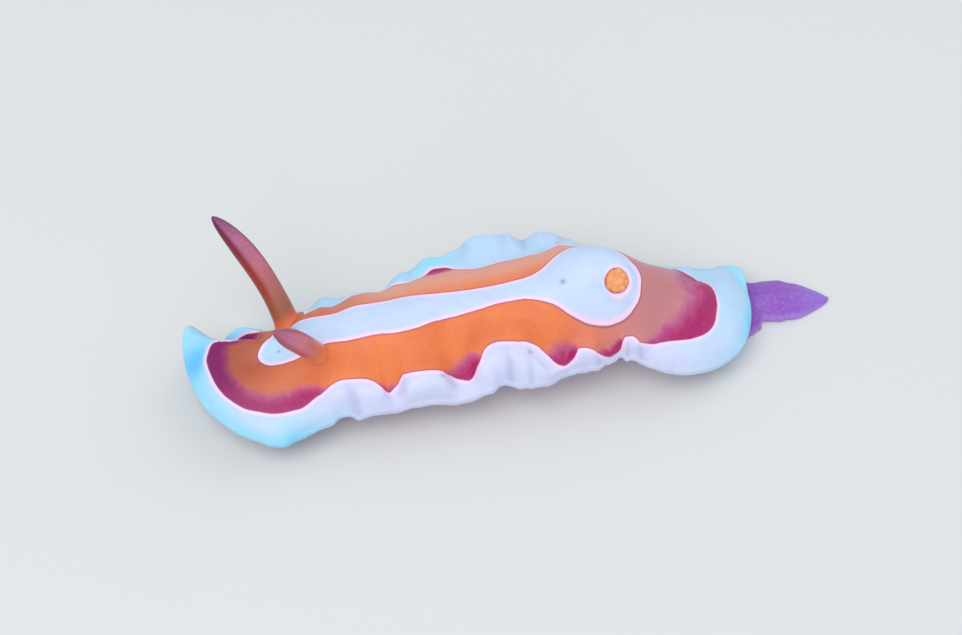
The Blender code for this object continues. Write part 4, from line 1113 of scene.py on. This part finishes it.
skinMaterial = newMaterial(
    "skin", skinColour, skinRoughness,
    lambda wire: fineBump(wire, 0.02, (0.16, 0.5), (0.5, 0.7), (0.05, 0.2)),
    scatter=0.22, reach=(1.0, 0.45, 0.35), coat=0.06)
rhinophoreMaterial = newMaterial(
    "rhinophore", rhinophoreColour, moistRoughness,
    lambda wire: fineBump(wire, 0.012, (0.08, 0.6), (0.3, 0.4)),
    scatter=0.2, reach=(1.0, 0.3, 0.25), coat=0.2)
gillMaterial = newMaterial(
    "gill", gillColour, moistRoughness,
    lambda wire: fineBump(wire, 0.012, (0.07, 0.6), (0.2, 0.4)),
    scatter=0.3, reach=(1.0, 0.5, 0.2), coat=0.2)
print("materials made")

finishPiece(buildSkin(), skinMaterial, skinNodes)
for name, size in rhinophores.items():
    finishPiece(buildRhinophore(name + "_skin", size), rhinophoreMaterial, [name])
finishPiece(buildGills(), gillMaterial, ["gill_tuft"])
print("animal built")


# Floor, light and camera

stage = dict(floorSize=3.0, floor=shade(0.86, 0.87, 0.87), floorRoughness=0.8, floorShine=0.1,
             air=(0.93, 0.96, 1.0, 1), airStrength=0.55)
lights = dict(  # metres and watts
    key=dict(at=(-0.06, -0.08, 0.2), size=0.18, power=0.28, colour=(1.0, 0.98, 0.96)),
    fill=dict(at=(0.14, 0.1, 0.16), size=0.2, power=0.12, colour=(0.88, 0.96, 1.0)),
    low=dict(at=(0.05, -0.22, 0.07), size=0.14, power=0.06, colour=(1.0, 0.95, 0.97)),
)
view = dict(target=(-0.76, 0.0, 2.52), distance=75.0, elevation=55.0, lens=70.0, sensor=36.0, nearest=1.0)


def buildStage():
    half = stage["floorSize"] / 2 / mm
    floor = makeObject("floor", [(-half, -half, 0), (half, -half, 0), (half, half, 0), (-half, half, 0)],
                       [(0, 1, 2, 3)], smooth=False)
    material = bpy.data.materials.new("floor")
    material.use_nodes = True
    shader = material.node_tree.nodes["Principled BSDF"]
    shader.inputs["Base Color"].default_value = stage["floor"]
    shader.inputs["Roughness"].default_value = stage["floorRoughness"]
    shader.inputs["Specular IOR Level"].default_value = stage["floorShine"]
    floor.data.materials.append(material)
    world = bpy.data.worlds.new("air")
    world.use_nodes = True
    background = world.node_tree.nodes["Background"]
    background.inputs["Color"].default_value = stage["air"]
    background.inputs["Strength"].default_value = stage["airStrength"]
    scene.world = world


def buildLight(name, size):
    lamp = bpy.data.lights.new(name, "AREA")
    lamp.size = size["size"]
    lamp.energy = size["power"]
    lamp.color = size["colour"]
    light = bpy.data.objects.new(name, lamp)
    light.location = size["at"]
    light.rotation_euler = (-Vector(size["at"])).to_track_quat("-Z", "Y").to_euler()
    scene.collection.objects.link(light)


def buildCamera():
    lens = bpy.data.cameras.new("camera")
    lens.lens, lens.sensor_width = view["lens"], view["sensor"]
    lens.clip_start = view["nearest"] * mm
    camera = bpy.data.objects.new("camera", lens)
    tilt = math.radians(view["elevation"])
    back = Vector((0, -math.cos(tilt), math.sin(tilt))) * view["distance"]
    camera.location = (Vector(view["target"]) + back) * mm
    camera.rotation_euler = (math.pi / 2 - tilt, 0, 0)
    scene.collection.objects.link(camera)
    scene.camera = camera


buildStage()
for name, size in lights.items():
    buildLight(name, size)
buildCamera()
scene.view_settings.view_transform = "Standard"
print("stage, lights and camera set")
